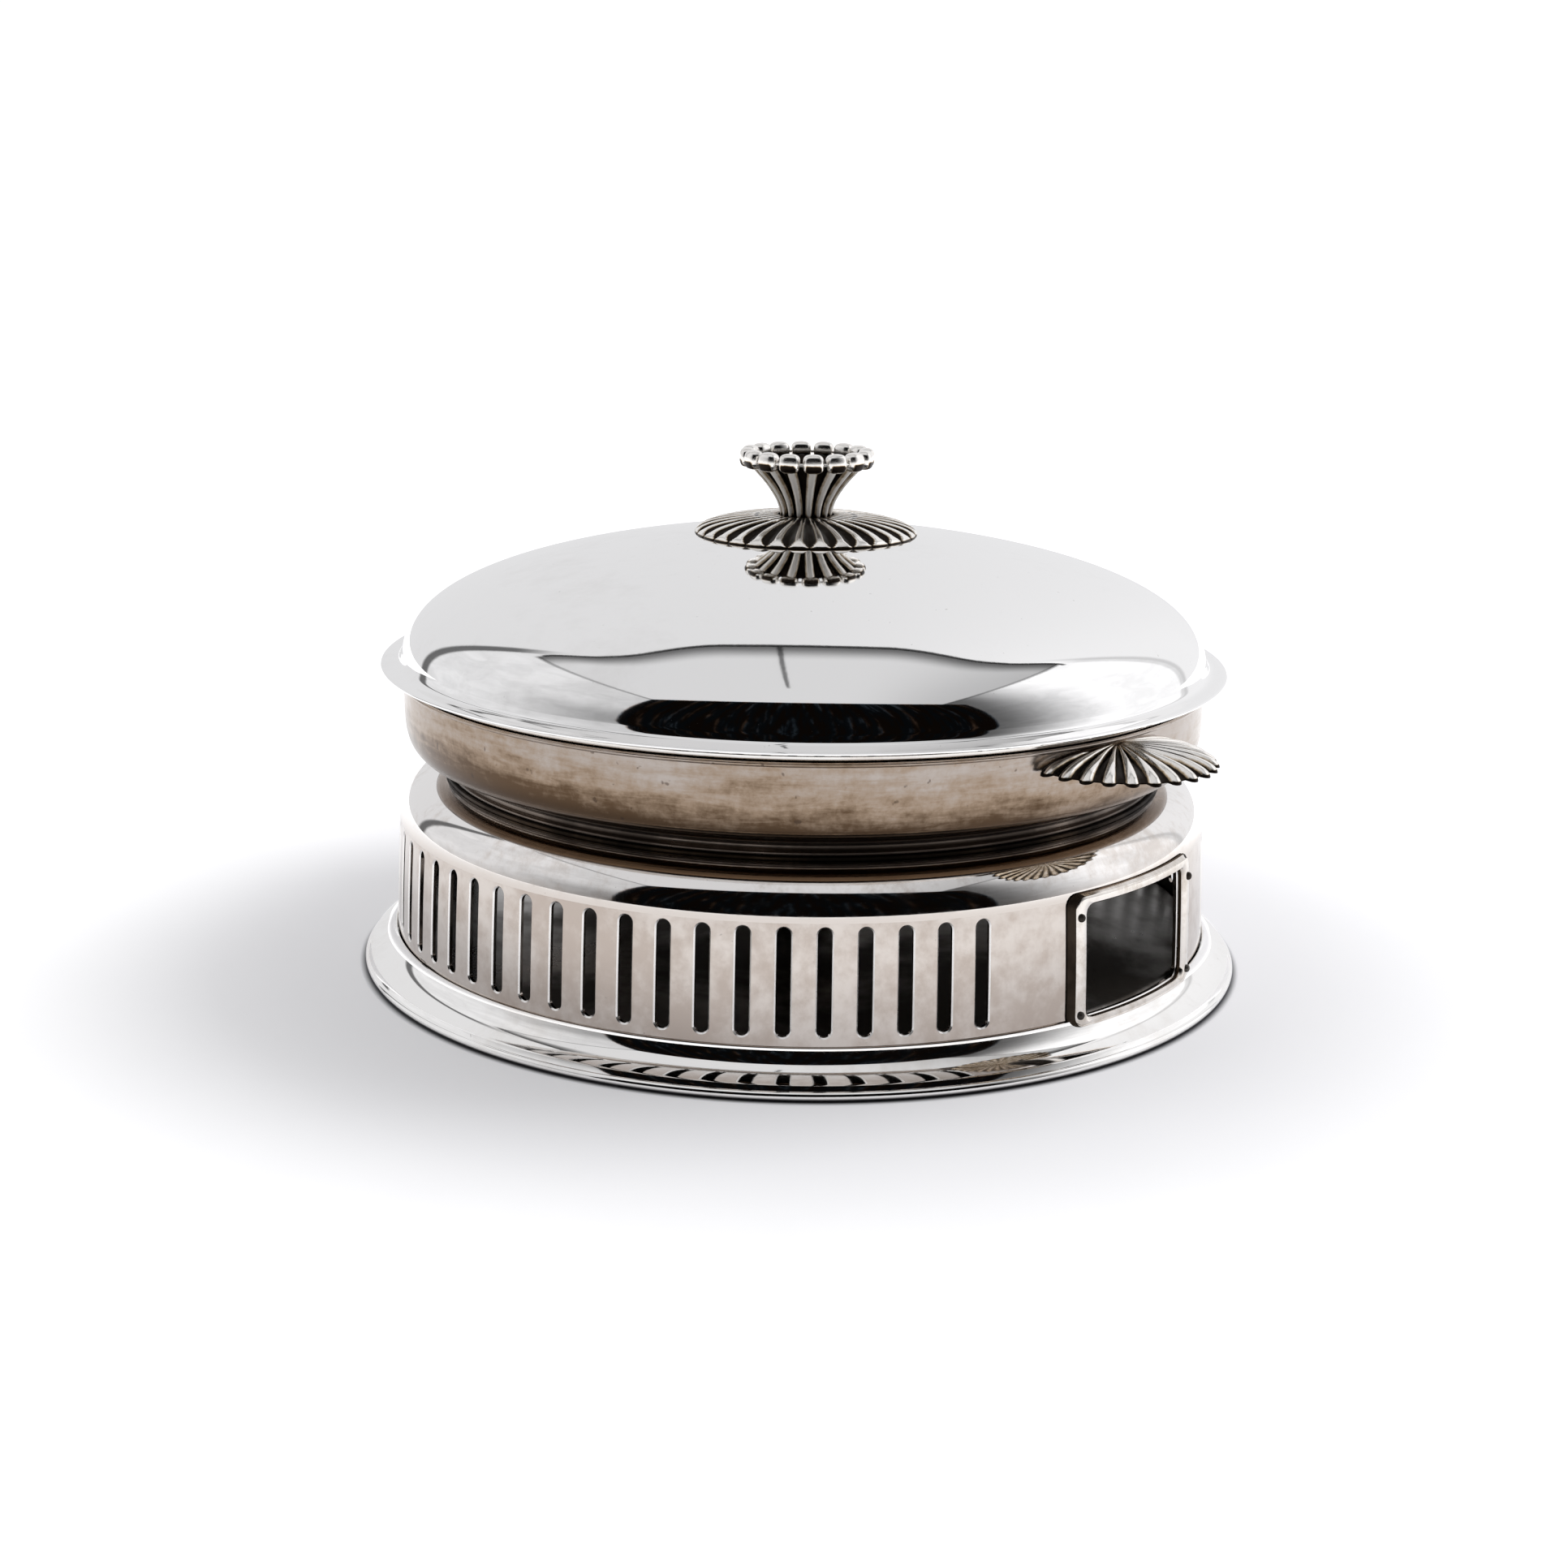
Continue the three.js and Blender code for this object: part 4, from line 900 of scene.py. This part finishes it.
def make_handles():
    columns = HANDLE_RIBS * 14
    rows = 24
    inner_limit = DISH_RADIUS - 0.7
    edge_height = HANDLE_ROOT - HANDLE_DROOP
    for side_name, side_turn in (("right", 0.0), ("left", pi)):
        shape = Shape()
        base_turn = side_turn + HANDLE_TURN

        def place(row, column, under):
            share = column / columns
            turn = (share - 0.5) * HANDLE_SWEEP
            slope = pi / 2 * row / rows
            height, hollow = rib(share * HANDLE_RIBS + HANDLE_RIB_SHIFT, HANDLE_RIB_WIDTH)
            strength = ease(sin(slope), 0.0, 0.3)
            if under:
                reach, rise = domed(HANDLE_RADIUS - HANDLE_SHEET, HANDLE_DROOP - HANDLE_SHEET, slope)
            else:
                reach, rise = domed(HANDLE_RADIUS, HANDLE_DROOP, slope, HANDLE_RIB * (1 - height) * strength)
            rise += 0.5 * (1 - height) * ease(row, rows - 5, rows)
            x = DISH_RADIUS + reach * cos(turn)
            y = reach * sin(turn)
            distance = hypot(x, y)
            if distance < inner_limit:
                x *= inner_limit / distance
                y *= inner_limit / distance
            spun = Matrix.Rotation(base_turn, 2) @ Vector((x, y))
            # Grooves are dark with oxide; the underside, the root against the dish and the rib ends along the
            # edge are marked dark as painted shade
            dark = 0.3 + 0.4 * hollow if under else min(1.0, hollow * strength + (1 - strength) * 0.3)
            if not under and row > rows - 3:
                dark = max(dark, 0.9)
            return (spun.x, spun.y, edge_height + rise, dark)

        shape.grid(rows, columns, lambda i, j: place(i, j, False))
        shape.grid(rows, columns, lambda i, j: place(i, j, True))
        shape.grid(1, columns, lambda i, j: place(rows, j, i == 1))
        for edge in (0, columns):
            shape.grid(1, rows, lambda i, j: place(j, edge, i == 1))
        shape.build("handle_" + side_name, ["oxidised_silver"], "dish",
                    ["dish_handle_" + side_name], sharp=60.0)


# Food pan
def make_pan():
    bead_radius = DISH_RIM_RADIUS - PAN_BEAD
    centre = (PAN_RADIUS - PAN_CORNER, PAN_BOTTOM + PAN_CORNER)
    outside = [(0.0, PAN_BOTTOM)] + arc(centre, PAN_CORNER, -90, 0, 16)
    under = PAN_BEAD_HEIGHT - PAN_BEAD
    outside += [(PAN_RADIUS, under - 0.6), (PAN_RADIUS + 0.4, under), (bead_radius, under)]
    bead = arc((bead_radius, PAN_BEAD_HEIGHT), PAN_BEAD, -80, 150, 16)
    lip = under + PAN_SHEET
    inside = [(bead_radius - PAN_BEAD - 0.3, lip + 0.1), (PAN_RADIUS - PAN_SHEET + 0.8, lip)]
    inside += [(PAN_RADIUS - PAN_SHEET, lip - 0.8)] + arc(centre, PAN_CORNER - PAN_SHEET, 0, -90, 16)
    inside += [(0.0, PAN_BOTTOM + PAN_SHEET)]
    turned_piece("pan", outside + bead + inside, "pan_silver", "pan", "food_pan")


# Lid
def dome_height(radius):
    lift = 1 - (radius / DOME_RADIUS) ** DOME_SHOULDER_POWER
    return DOME_BASE + DOME_SPAN * max(0.0, lift) ** (1 / DOME_RISE_POWER)


def dome_line():
    """The dome's outside from the flange up: even steps of height low down, of radius higher up."""
    found = []
    height = FLANGE_TOP
    while height < FLANGE_TOP + 28.0:
        lift = ((height - DOME_BASE) / DOME_SPAN) ** DOME_RISE_POWER
        found.append((DOME_RADIUS * (1 - lift) ** (1 / DOME_SHOULDER_POWER), height))
        height += 0.8
    radius = found[-1][0] - 1.5
    while radius > DOME_FLAT_RADIUS:
        found.append((radius, dome_height(radius)))
        radius -= 2.2
    return found


def make_lid():
    line = dome_line()
    edge = [(LID_RADIUS - 0.7, FLANGE_BOTTOM), (LID_RADIUS - 0.2, FLANGE_BOTTOM + 0.06),
            (LID_RADIUS, FLANGE_BOTTOM + 0.3), (LID_RADIUS, FLANGE_BOTTOM + 0.65),
            (LID_RADIUS - 0.2, FLANGE_BOTTOM + 0.9), (LID_RADIUS - 0.6, FLANGE_TOP - 0.18)]
    flange = [edge[-1], (LID_RADIUS - 2.1, FLANGE_TOP + 0.1), (LID_RADIUS - 4.0, FLANGE_TOP + 0.35),
              (DOME_RADIUS + 1.1, FLANGE_TOP + 0.7), (DOME_RADIUS + 0.3, FLANGE_TOP + 1.4), line[4]]
    top = [(DOME_FLAT_RADIUS - 1.0, dome_height(DOME_FLAT_RADIUS)), (STUD_HOLE, DOME_TOP),
           (STUD_HOLE, DOME_TOP - LID_SHEET)]
    inside = [(r - LID_SHEET * 0.9, z - LID_SHEET * 0.6) for r, z in reversed(line[3:])]
    inside = [(r, z) for r, z in inside if r < DOME_RADIUS - LID_SHEET * 1.02]
    shape = Shape()
    turned(shape, edge + smooth_line(flange, 5) + line[5:] + top)
    lower = [(DOME_RADIUS - LID_SHEET, FLANGE_BOTTOM), edge[0]]
    turned(shape, [top[-1]] + inside + lower, material=1)
    shape.build("lid", ["lid_silver", "pan_silver"], "lid", ["lid_dome"])


def make_bezel():
    low = PAN_RADIUS - PAN_SHEET - 1.0
    soldered = DOME_RADIUS - LID_SHEET - 1.5
    outline = [(low, BEZEL_LIP - BEZEL_DROP), (low, BEZEL_LIP), (soldered, FLANGE_BOTTOM + 0.3),
               (soldered, BEZEL_TOP), (soldered - BEZEL_SHEET, BEZEL_TOP),
               (soldered - BEZEL_SHEET, FLANGE_BOTTOM + 1.2), (low - BEZEL_SHEET, BEZEL_LIP + 0.8),
               (low - BEZEL_SHEET, BEZEL_LIP - BEZEL_DROP)]
    outline = softened(outline, 0.6)
    turned_piece("bezel", outline, "pan_silver", "lid", "lid_bezel", closed=True)


# Finial
def spoon(phase, share):
    """How deep a place lies in the spoon-shaped hollow that is centred on each whole phase, from 0 to 1."""
    away = 0.5 - abs(phase % 1.0 - 0.5)
    closing = max(0.0, (share - 0.93) / 0.066)
    if closing >= 1.0:
        return 0.0
    half = (0.22 + 0.1 * ease(share, 0.25, 0.65)) * sqrt(1 - closing * closing)
    if away >= half:
        return 0.0
    return sqrt(1 - (away / half) ** 2)


def make_rosette():
    per_flute = 14
    columns = ROSETTE_FLUTES * per_flute
    rows = 30
    first_slope = asin((NECK_RADIUS / ROSETTE_RADIUS) ** (FLUTED_FULLNESS / 2))
    rise = ROSETTE_TOP - ROSETTE_EDGE_HEIGHT
    shape = Shape()

    def surface(row, column):
        angle = ROSETTE_TURN + 2 * pi * (column / per_flute - 0.5) / ROSETTE_FLUTES
        slope = first_slope + (pi / 2 - first_slope) * row / rows
        share = sin(slope) ** (2 / FLUTED_FULLNESS)
        phase = column / per_flute
        deep = spoon(phase, share)
        height = rib(phase, 1.0)[0]
        notch = 0.45 * (1 - height) ** 2 * ease(share, 0.7, 0.9)
        strength = ease(share, 0.24, 0.45)
        reach, up = domed(ROSETTE_RADIUS, rise, slope, ROSETTE_FLUTE_DEPTH * deep * strength + notch)
        # Spoon hollows and edge notches are dark with oxide; the darkening round the neck under the crown and
        # on the last rows at the rim is painted shade
        dark = min(1.0, 1.7 * deep) + 0.5 * (1 - height) ** 4 * ease(share, 0.8, 0.95)
        dark = min(1.0, dark + 0.55 * (1 - ease(share, 0.24, 0.34)) + ease(row, rows - 3, rows))
        return (reach * cos(angle), reach * sin(angle), ROSETTE_EDGE_HEIGHT + up, dark)

    def edge(row, column):
        x, y, up, dark = surface(rows, column)
        if row == 0:
            return (x, y, up, dark)
        inward = 0.985 if row == 1 else 0.93
        # The rows under the rim are marked fully dark: painted shade
        return (x * inward, y * inward, ROSETTE_BOTTOM, 1.0)

    shape.grid(rows, columns, surface)
    shape.grid(2, columns, edge)
    shape.build("rosette", ["oxidised_silver"], "lid", ["finial_rosette"], sharp=70.0)


def squared(value, power):
    """A sine or cosine drawn towards its limits, which makes a ball a little square."""
    return copysign(abs(value) ** (2 / power), value)


def make_crown():
    line = smooth_line(CROWN_FLARE, 6)
    shape = Shape()
    around = 14
    for index in range(CROWN_RODS):
        turn = CROWN_TURN + 2 * pi * index / CROWN_RODS
        spin = Matrix.Rotation(turn, 3, "Z")

        def rod_point(row, column):
            before, after = line[max(row - 1, 0)], line[min(row + 1, len(line) - 1)]
            along = Vector((after[0] - before[0], 0, after[1] - before[1])).normalized()
            outward = Vector((along.z, 0, -along.x))
            angle = 2 * pi * column / around
            wide = ROD_RADIUS * (0.72 + 0.68 * row / (len(line) - 1))
            offset = outward * (ROD_RADIUS * cos(angle)) + Vector((0, wide * sin(angle), 0))
            place = spin @ (Vector((line[row][0], 0, line[row][1])) + offset)
            # Painted shade: each rod darkens on the side that faces the axis and near the neck, inside the
            # crown; its flanks take the warm mid-tone
            inside = ease(-cos(angle), -0.1, 0.5) + 0.34 * ease(-cos(angle), -0.95, -0.6)
            return (*place, min(1.0, inside + 0.4 * (1 - ease(row, 0, 4))))

        def tip_point(row, column):
            up = pi * row / 16
            angle = 2 * pi * column / 28
            flat = squared(sin(up), TIP_POWER)
            level = squared(cos(up), TIP_POWER)
            aside = squared(sin(angle), TIP_POWER)
            offset = Vector((TIP_SIZE[0] * flat * squared(cos(angle), TIP_POWER), TIP_SIZE[1] * flat * aside,
                             TIP_SIZE[2] * level))
            place = spin @ (Vector((CROWN_RADIUS, 0, CROWN_TIPS)) + offset)
            # Painted shade: a dark band across the lower half of each tip
            under = ease(-level, 0.12, 0.25) * (1 - ease(-level, 0.75, 0.95))
            return (*place, under * (1 - ease(abs(flat * aside), 0.6, 0.85)))

        shape.grid(len(line) - 1, around, rod_point, 1)
        shape.grid(16, 28, tip_point)
    # The core and its cup are marked 0.95 dark: painted shade inside the crown
    core = [(r - 0.9, z) for r, z in line[:-2]]
    hollow = [(r - 2.1, z) for r, z in reversed(line[12:-2])]
    turned(shape, core + hollow + [(0.0, hollow[-1][1] - 0.6)], 72, hollow=0.95)
    ring = arc((CROWN_RADIUS + 0.6, CROWN_TIPS - 0.3), 0.5, 0, 360, 10)
    turned(shape, ring, 120)
    shape.build("crown", ["oxidised_silver", "crown_silver"], "lid", ["finial_crown"],
                sharp=60.0)


def make_fixings():
    under = DOME_TOP - LID_SHEET - 0.3
    low = under - STUD_REACH
    high = CROWN_BOTTOM + 4.0
    stud = [(0.0, low), (STUD_RADIUS - 0.5, low), (STUD_RADIUS, low + 0.5), (STUD_RADIUS, high), (0.0, high)]
    turned_piece("stud", stud, "dark_metal", "lid", "finial_stud", 24)
    washer = [(BORE_RADIUS, under), (WASHER_RADIUS, under), (WASHER_RADIUS, under - WASHER_SHEET),
              (BORE_RADIUS, under - WASHER_SHEET)]
    washer = softened(washer, 0.3)
    turned_piece("washer", washer, "dark_metal", "lid", "finial_washer", 48, closed=True)
    top = under - 1.4
    bottom = top - NUT_HEIGHT
    nut = [(BORE_RADIUS, top), (NUT_RADIUS - 0.5, top), (NUT_RADIUS, top - 0.35), (NUT_RADIUS, bottom + 0.35),
           (NUT_RADIUS - 0.5, bottom), (BORE_RADIUS, bottom)]
    turned_piece("nut", nut, "worn_brass", "lid", "finial_nut", 6, closed=True, sharp=20.0)


# Burner
def make_burner():
    inner = BURNER_RADIUS - BURNER_SHEET
    bulge = BURNER_RADIUS + 0.25
    outline = [(0.0, BURNER_BOTTOM)] + arc((BURNER_RADIUS - 1.8, BURNER_BOTTOM + 1.8), 1.8, -90, 0, 6)
    outline += [(BURNER_RADIUS, BURNER_BAND - 0.65), (bulge, BURNER_BAND - 0.25), (bulge, BURNER_BAND + 0.25),
                (BURNER_RADIUS, BURNER_BAND + 0.65), (BURNER_RADIUS, BURNER_RIM - 0.3),
                (BURNER_RADIUS - 0.3, BURNER_RIM), (inner + 0.2, BURNER_RIM), (inner, BURNER_RIM - 0.3),
                (inner, BURNER_BOTTOM + BURNER_SHEET), (0.0, BURNER_BOTTOM + BURNER_SHEET)]
    turned_piece("burner_body", outline, "burner_silver", "burner", "burner_cup", 96)

    def tuft(row, column):
        angle = 2 * pi * column / 64
        share = row / 16
        reach = inner * 0.985 * share
        lump = 0.35 * sin(7 * angle + 5 * share) * share + 0.3 * sin(19 * share + 3 * angle)
        return (reach * cos(angle), reach * sin(angle), WOOL_TOP + 0.5 * lump)

    packing = Shape()
    packing.grid(16, 64, tuft)
    side = [(inner * 0.985, WOOL_TOP - 0.1), (inner * 0.985, WOOL_BOTTOM), (0.0, WOOL_BOTTOM)]
    turned(packing, side, 64)
    packing.build("packing", ["wool"], "burner", ["burner_wool"], sharp=80.0)

    cloth = [(0.0, GAUZE_TOP), (inner - 2.0, GAUZE_TOP), (inner - 0.4, GAUZE_TOP - 0.15),
             (inner - 0.4, GAUZE_TOP - 0.6), (0.0, GAUZE_TOP - 0.5)]
    turned_piece("wire_cloth", cloth, "gauze", "burner", "burner_gauze", 72)

    skirt = BURNER_RADIUS + 1.26
    outline = [(FLAME_RADIUS, CAP_TOP - 1.2), (FLAME_RADIUS, CAP_TOP - 0.2), (FLAME_RADIUS + 0.3, CAP_TOP)]
    outline += arc((skirt - 1.6, CAP_TOP - 1.6), 1.6, 90, 0, 7)
    outline += [(skirt, CAP_BOTTOM + 0.4), (skirt + 0.2, CAP_BOTTOM), (skirt - 0.96, CAP_BOTTOM),
                (skirt - 0.96, CAP_TOP - 1.2)]
    turned_piece("burner_lid", outline, "burner_silver", "burner", "burner_cap", 96,
                 closed=True)

    head = DAMPER_TOP + 0.3
    profile = [(0.0, PIN_BOTTOM), (1.4, PIN_BOTTOM), (1.4, head), (2.4, head), (2.6, head + 0.2)]
    profile += arc((0.0, head + 0.2), (2.6, 0.8), 5, 90, 6)
    turned_piece("pivot_pin", profile, "dark_metal", "burner", "damper_pin", 28,
                 centre=(-DAMPER_PIVOT, 0.0))

    outline = ((1.3, 0.0), (1.1, 1.0), (1.5, 1.5), (2.2, 2.4), (1.8, 3.6), (0.9, 4.1), (0.0, 4.2))
    profile = [(0.0, head)] + smooth_line([(reach, head + up) for reach, up in outline], 4)
    turned_piece("lever_knob", profile, "worn_brass", "damper", "damper_knob", 28,
                 centre=(KNOB_PLACE, 0.0))

    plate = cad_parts["damper_disc"]
    plate.data.materials.clear()
    plate.data.materials.append(MATERIALS["burner_silver"])


for make in (make_foot, make_wall, make_rim, make_plate, make_frames, make_dish, make_seat, make_handles,
             make_pan, make_lid, make_bezel, make_rosette, make_crown, make_fixings, make_burner):
    make()


# Camera
def make_camera():
    data = bpy.data.cameras.new("view")
    data.lens = CAMERA_LENS
    data.sensor_fit = "HORIZONTAL"
    data.sensor_width = CAMERA_SENSOR
    data.clip_end = 20.0
    facing = Matrix.Rotation(CAMERA_YAW, 4, "Z") @ Matrix.Rotation(pi / 2 - CAMERA_PITCH, 4, "X")
    facing = facing @ Matrix.Rotation(CAMERA_ROLL, 4, "Z")
    camera = add_object("view", data)
    camera.matrix_world = Matrix.Rotation(VIEW_TURN, 4, "Z") @ Matrix.Translation(CAMERA_PLACE) @ facing
    bpy.context.scene.camera = camera


# Studio: a pale floor with a painted shadow round the foot, a white tent with a dark opening in front, and a
# soft light from the right
FLOOR_REACH = 3.0
FLOOR_HEIGHT = -0.00015
FLOOR_SIDES = 96
FLOOR_GLOW = 0.45
# The lower glow near the object, the floor shade and the contact ring paint a shadow round the foot
FLOOR_NEAR_GLOW = 0.28
FLOOR_SHADE = (0.15, 0.31)
FLOOR_CONTACT_SHADOW = (0.1455, 0.1485)
OPENING_MIDDLE = radians(1.5)
OPENING_HALF = radians(53.5)
OPENING_TOP = radians(58)
OPENING_BOTTOM = radians(-1.5)
SEAM_LIFT = 58
ROOF_LEFT = -39
ROOF_RIGHT = 36
CREASE = -2.6
CORNER = 131
KEY_HEIGHT = radians(50)
KEY_TURN = radians(22)
KEY_DISTANCE = 2.6
KEY_SIZE = 1.3
KEY_POWER = 24.0


def make_floor():
    angles = [2 * pi * side / FLOOR_SIDES for side in range(FLOOR_SIDES)]
    ring = [(FLOOR_REACH * cos(angle), FLOOR_REACH * sin(angle), FLOOR_HEIGHT) for angle in angles]
    mesh = bpy.data.meshes.new("floor")
    mesh.from_pydata(ring, [], [range(FLOOR_SIDES)])
    graph, place = new_material("floor")
    grain = graph.noise(place, 40.0, 3.0)
    tone = graph.mix(graph.between(grain, 0.3, 0.7), (0.93, 0.93, 0.94), (0.95, 0.95, 0.955))
    reach = graph.add("VectorMath", {0: place}, operation="LENGTH").outputs["Value"]
    # Painted shadow: the floor darkens and glows less towards the object, and a near-black ring at the foot's
    # edge is a painted contact shadow
    tone = graph.mix(graph.between(reach, *FLOOR_SHADE), (0.77, 0.77, 0.8), tone)
    clear = graph.between(reach, *FLOOR_CONTACT_SHADOW)
    tone = graph.mix(clear, (0.1, 0.1, 0.11), tone)
    glow = graph.times(graph.between(reach, 0.15, 0.32, FLOOR_NEAR_GLOW, FLOOR_GLOW), clear)
    glow = graph.plus(glow, graph.between(reach, 0.6, 2.4, 0.0, 0.3))
    close_shader(graph, tone, 0.9, metallic=0.0, glow=glow)
    mesh.materials.append(MATERIALS["floor"])
    floor = add_object("floor", mesh)


def make_world():
    world = bpy.data.worlds.new("studio")
    bpy.context.scene.world = world
    world.use_nodes = True
    graph = Graph(world.node_tree)
    direction = graph.add("TexCoord").outputs["Generated"]
    turned_back = graph.spun(direction, -VIEW_TURN)
    parts = graph.parts(turned_back)
    front = graph.times(parts["Y"], -1.0)
    azimuth = graph.math("ARCTAN2", parts["X"], front)
    aside = graph.math("ABSOLUTE", azimuth)
    rise = graph.math("ARCSINE", parts["Z"])

    front_lift = graph.math("ARCTAN2", parts["Z"], front)
    back_lift = graph.math("ARCTAN2", parts["Z"], parts["Y"])
    lean = graph.math("ARCTAN2", parts["X"], parts["Z"])
    lean_aside = graph.math("ABSOLUTE", lean)

    def degrees(value, low, high, to_low=0.0, to_high=1.0):
        return graph.between(value, radians(low), radians(high), to_low, to_high)

    def line_at(value, place, width):
        away = graph.math("ABSOLUTE", graph.minus(value, radians(place)))
        return degrees(away, width, width * 0.4)

    sag = graph.minus(degrees(lean_aside, 9, 24, 0.0, 0.13), degrees(lean_aside, 26, 37, 0.0, 0.08))
    past_seam = graph.minus(back_lift, graph.plus(sag, radians(SEAM_LIFT)))
    roof = graph.times(degrees(past_seam, -0.3, 0.3), degrees(lean, ROOF_LEFT - 0.3, ROOF_LEFT + 0.3))
    roof = graph.times(roof, degrees(lean, ROOF_RIGHT + 0.3, ROOF_RIGHT - 0.3))
    behind = degrees(aside, CORNER - 0.5, CORNER + 0.5)
    rightwards = graph.between(parts["X"], -0.15, 0.6)

    back_wall = graph.scaled(rightwards, 0.16, 0.79)
    left_wall = degrees(aside, 46, 104, degrees(rise, 12, 30, 0.34, 0.66), 0.83)
    right_wall = degrees(aside, 54, 100, 0.12, 1.14)
    on_right = graph.between(parts["X"], -0.01, 0.01)
    side_wall = graph.blend(on_right, left_wall, right_wall)
    folds = graph.noise(turned_back, 5.0, 6.0, 0.62, 0.8)
    side_wall = graph.times(side_wall, graph.between(folds, 0.3, 0.7, 0.9, 1.06))
    walls = graph.blend(behind, side_wall, back_wall)
    roof_tone = degrees(past_seam, 0.3, 11, 0.14, 0.73)
    roof_tone = graph.times(roof_tone, graph.between(parts["X"], 0.12, 0.6, 1.0, 0.72))
    tent = graph.blend(roof, walls, roof_tone)

    under_roof = graph.times(degrees(lean_aside, 38, 37), degrees(back_lift, 100, 90))
    seam = graph.times(line_at(past_seam, 0.0, 1.1), under_roof)
    edges = graph.math("MAXIMUM", line_at(lean, ROOF_LEFT, 0.9), line_at(lean, ROOF_RIGHT, 0.8))
    edges = graph.times(edges, degrees(past_seam, -1.0, 0.0))
    crease = graph.times(line_at(lean, CREASE, 0.45), roof)
    crease = graph.times(crease, degrees(back_lift, 102, 98))
    corner = graph.times(line_at(aside, CORNER, 3.4), degrees(rise, 52, 40))
    corner = graph.times(corner, graph.between(parts["X"], 0.0, -0.1, 0.35, 1.0))
    drawn = seam
    for line, strength in ((edges, 0.55), (crease, 0.85), (corner, 0.9)):
        drawn = graph.math("MAXIMUM", drawn, graph.times(line, strength))
    tent = graph.times(tent, graph.minus(1.0, graph.times(drawn, 0.9)))

    off_middle = graph.math("ABSOLUTE", graph.minus(azimuth, OPENING_MIDDLE))
    inside = graph.between(off_middle, OPENING_HALF, OPENING_HALF - 0.02)
    inside = graph.times(inside, graph.between(front_lift, OPENING_TOP, OPENING_TOP - 0.02))
    inside = graph.times(inside, graph.between(rise, OPENING_BOTTOM - 0.01, OPENING_BOTTOM))
    room = graph.add("CombineXYZ", {0: graph.times(azimuth, 14.0), 1: rise, 2: 0.0}).outputs[0]
    clutter = graph.between(graph.noise(room, 1.6, 3.0, 0.6), 0.54, 0.74, 0.003, 0.035)
    warmth = graph.between(graph.noise(room, 1.7, 2.0), 0.42, 0.58)
    tint = graph.mix(warmth, (1.0, 0.62, 0.42), (0.6, 0.8, 1.0))
    tint = graph.mix(inside, (0.985, 0.985, 1.0), tint)
    reflected = graph.blend(inside, tent, clutter)

    seen = graph.add("LightPath").outputs["Is Camera Ray"]
    studio = graph.add("Background", {"Color": tint, "Strength": reflected})
    backdrop = graph.add("Background", {"Color": WHITE, "Strength": 1.05})
    shown = graph.add("MixShader", {0: seen, 1: studio.outputs[0], 2: backdrop.outputs[0]})
    graph.add("OutputWorld", {"Surface": shown.outputs[0]})


def make_key():
    data = bpy.data.lights.new("key", "AREA")
    data.shape = "SQUARE"
    data.size = KEY_SIZE
    data.energy = KEY_POWER
    key = add_object("key", data)
    away = Vector((cos(KEY_HEIGHT), 0.0, sin(KEY_HEIGHT)))
    away.rotate(Matrix.Rotation(VIEW_TURN + KEY_TURN, 3, "Z"))
    key.location = away * KEY_DISTANCE
    key.rotation_euler = away.to_track_quat("Z", "Y").to_euler()
    key.visible_glossy = False


make_camera()
make_floor()
make_world()
make_key()
bpy.context.scene.view_settings.view_transform = "Standard"
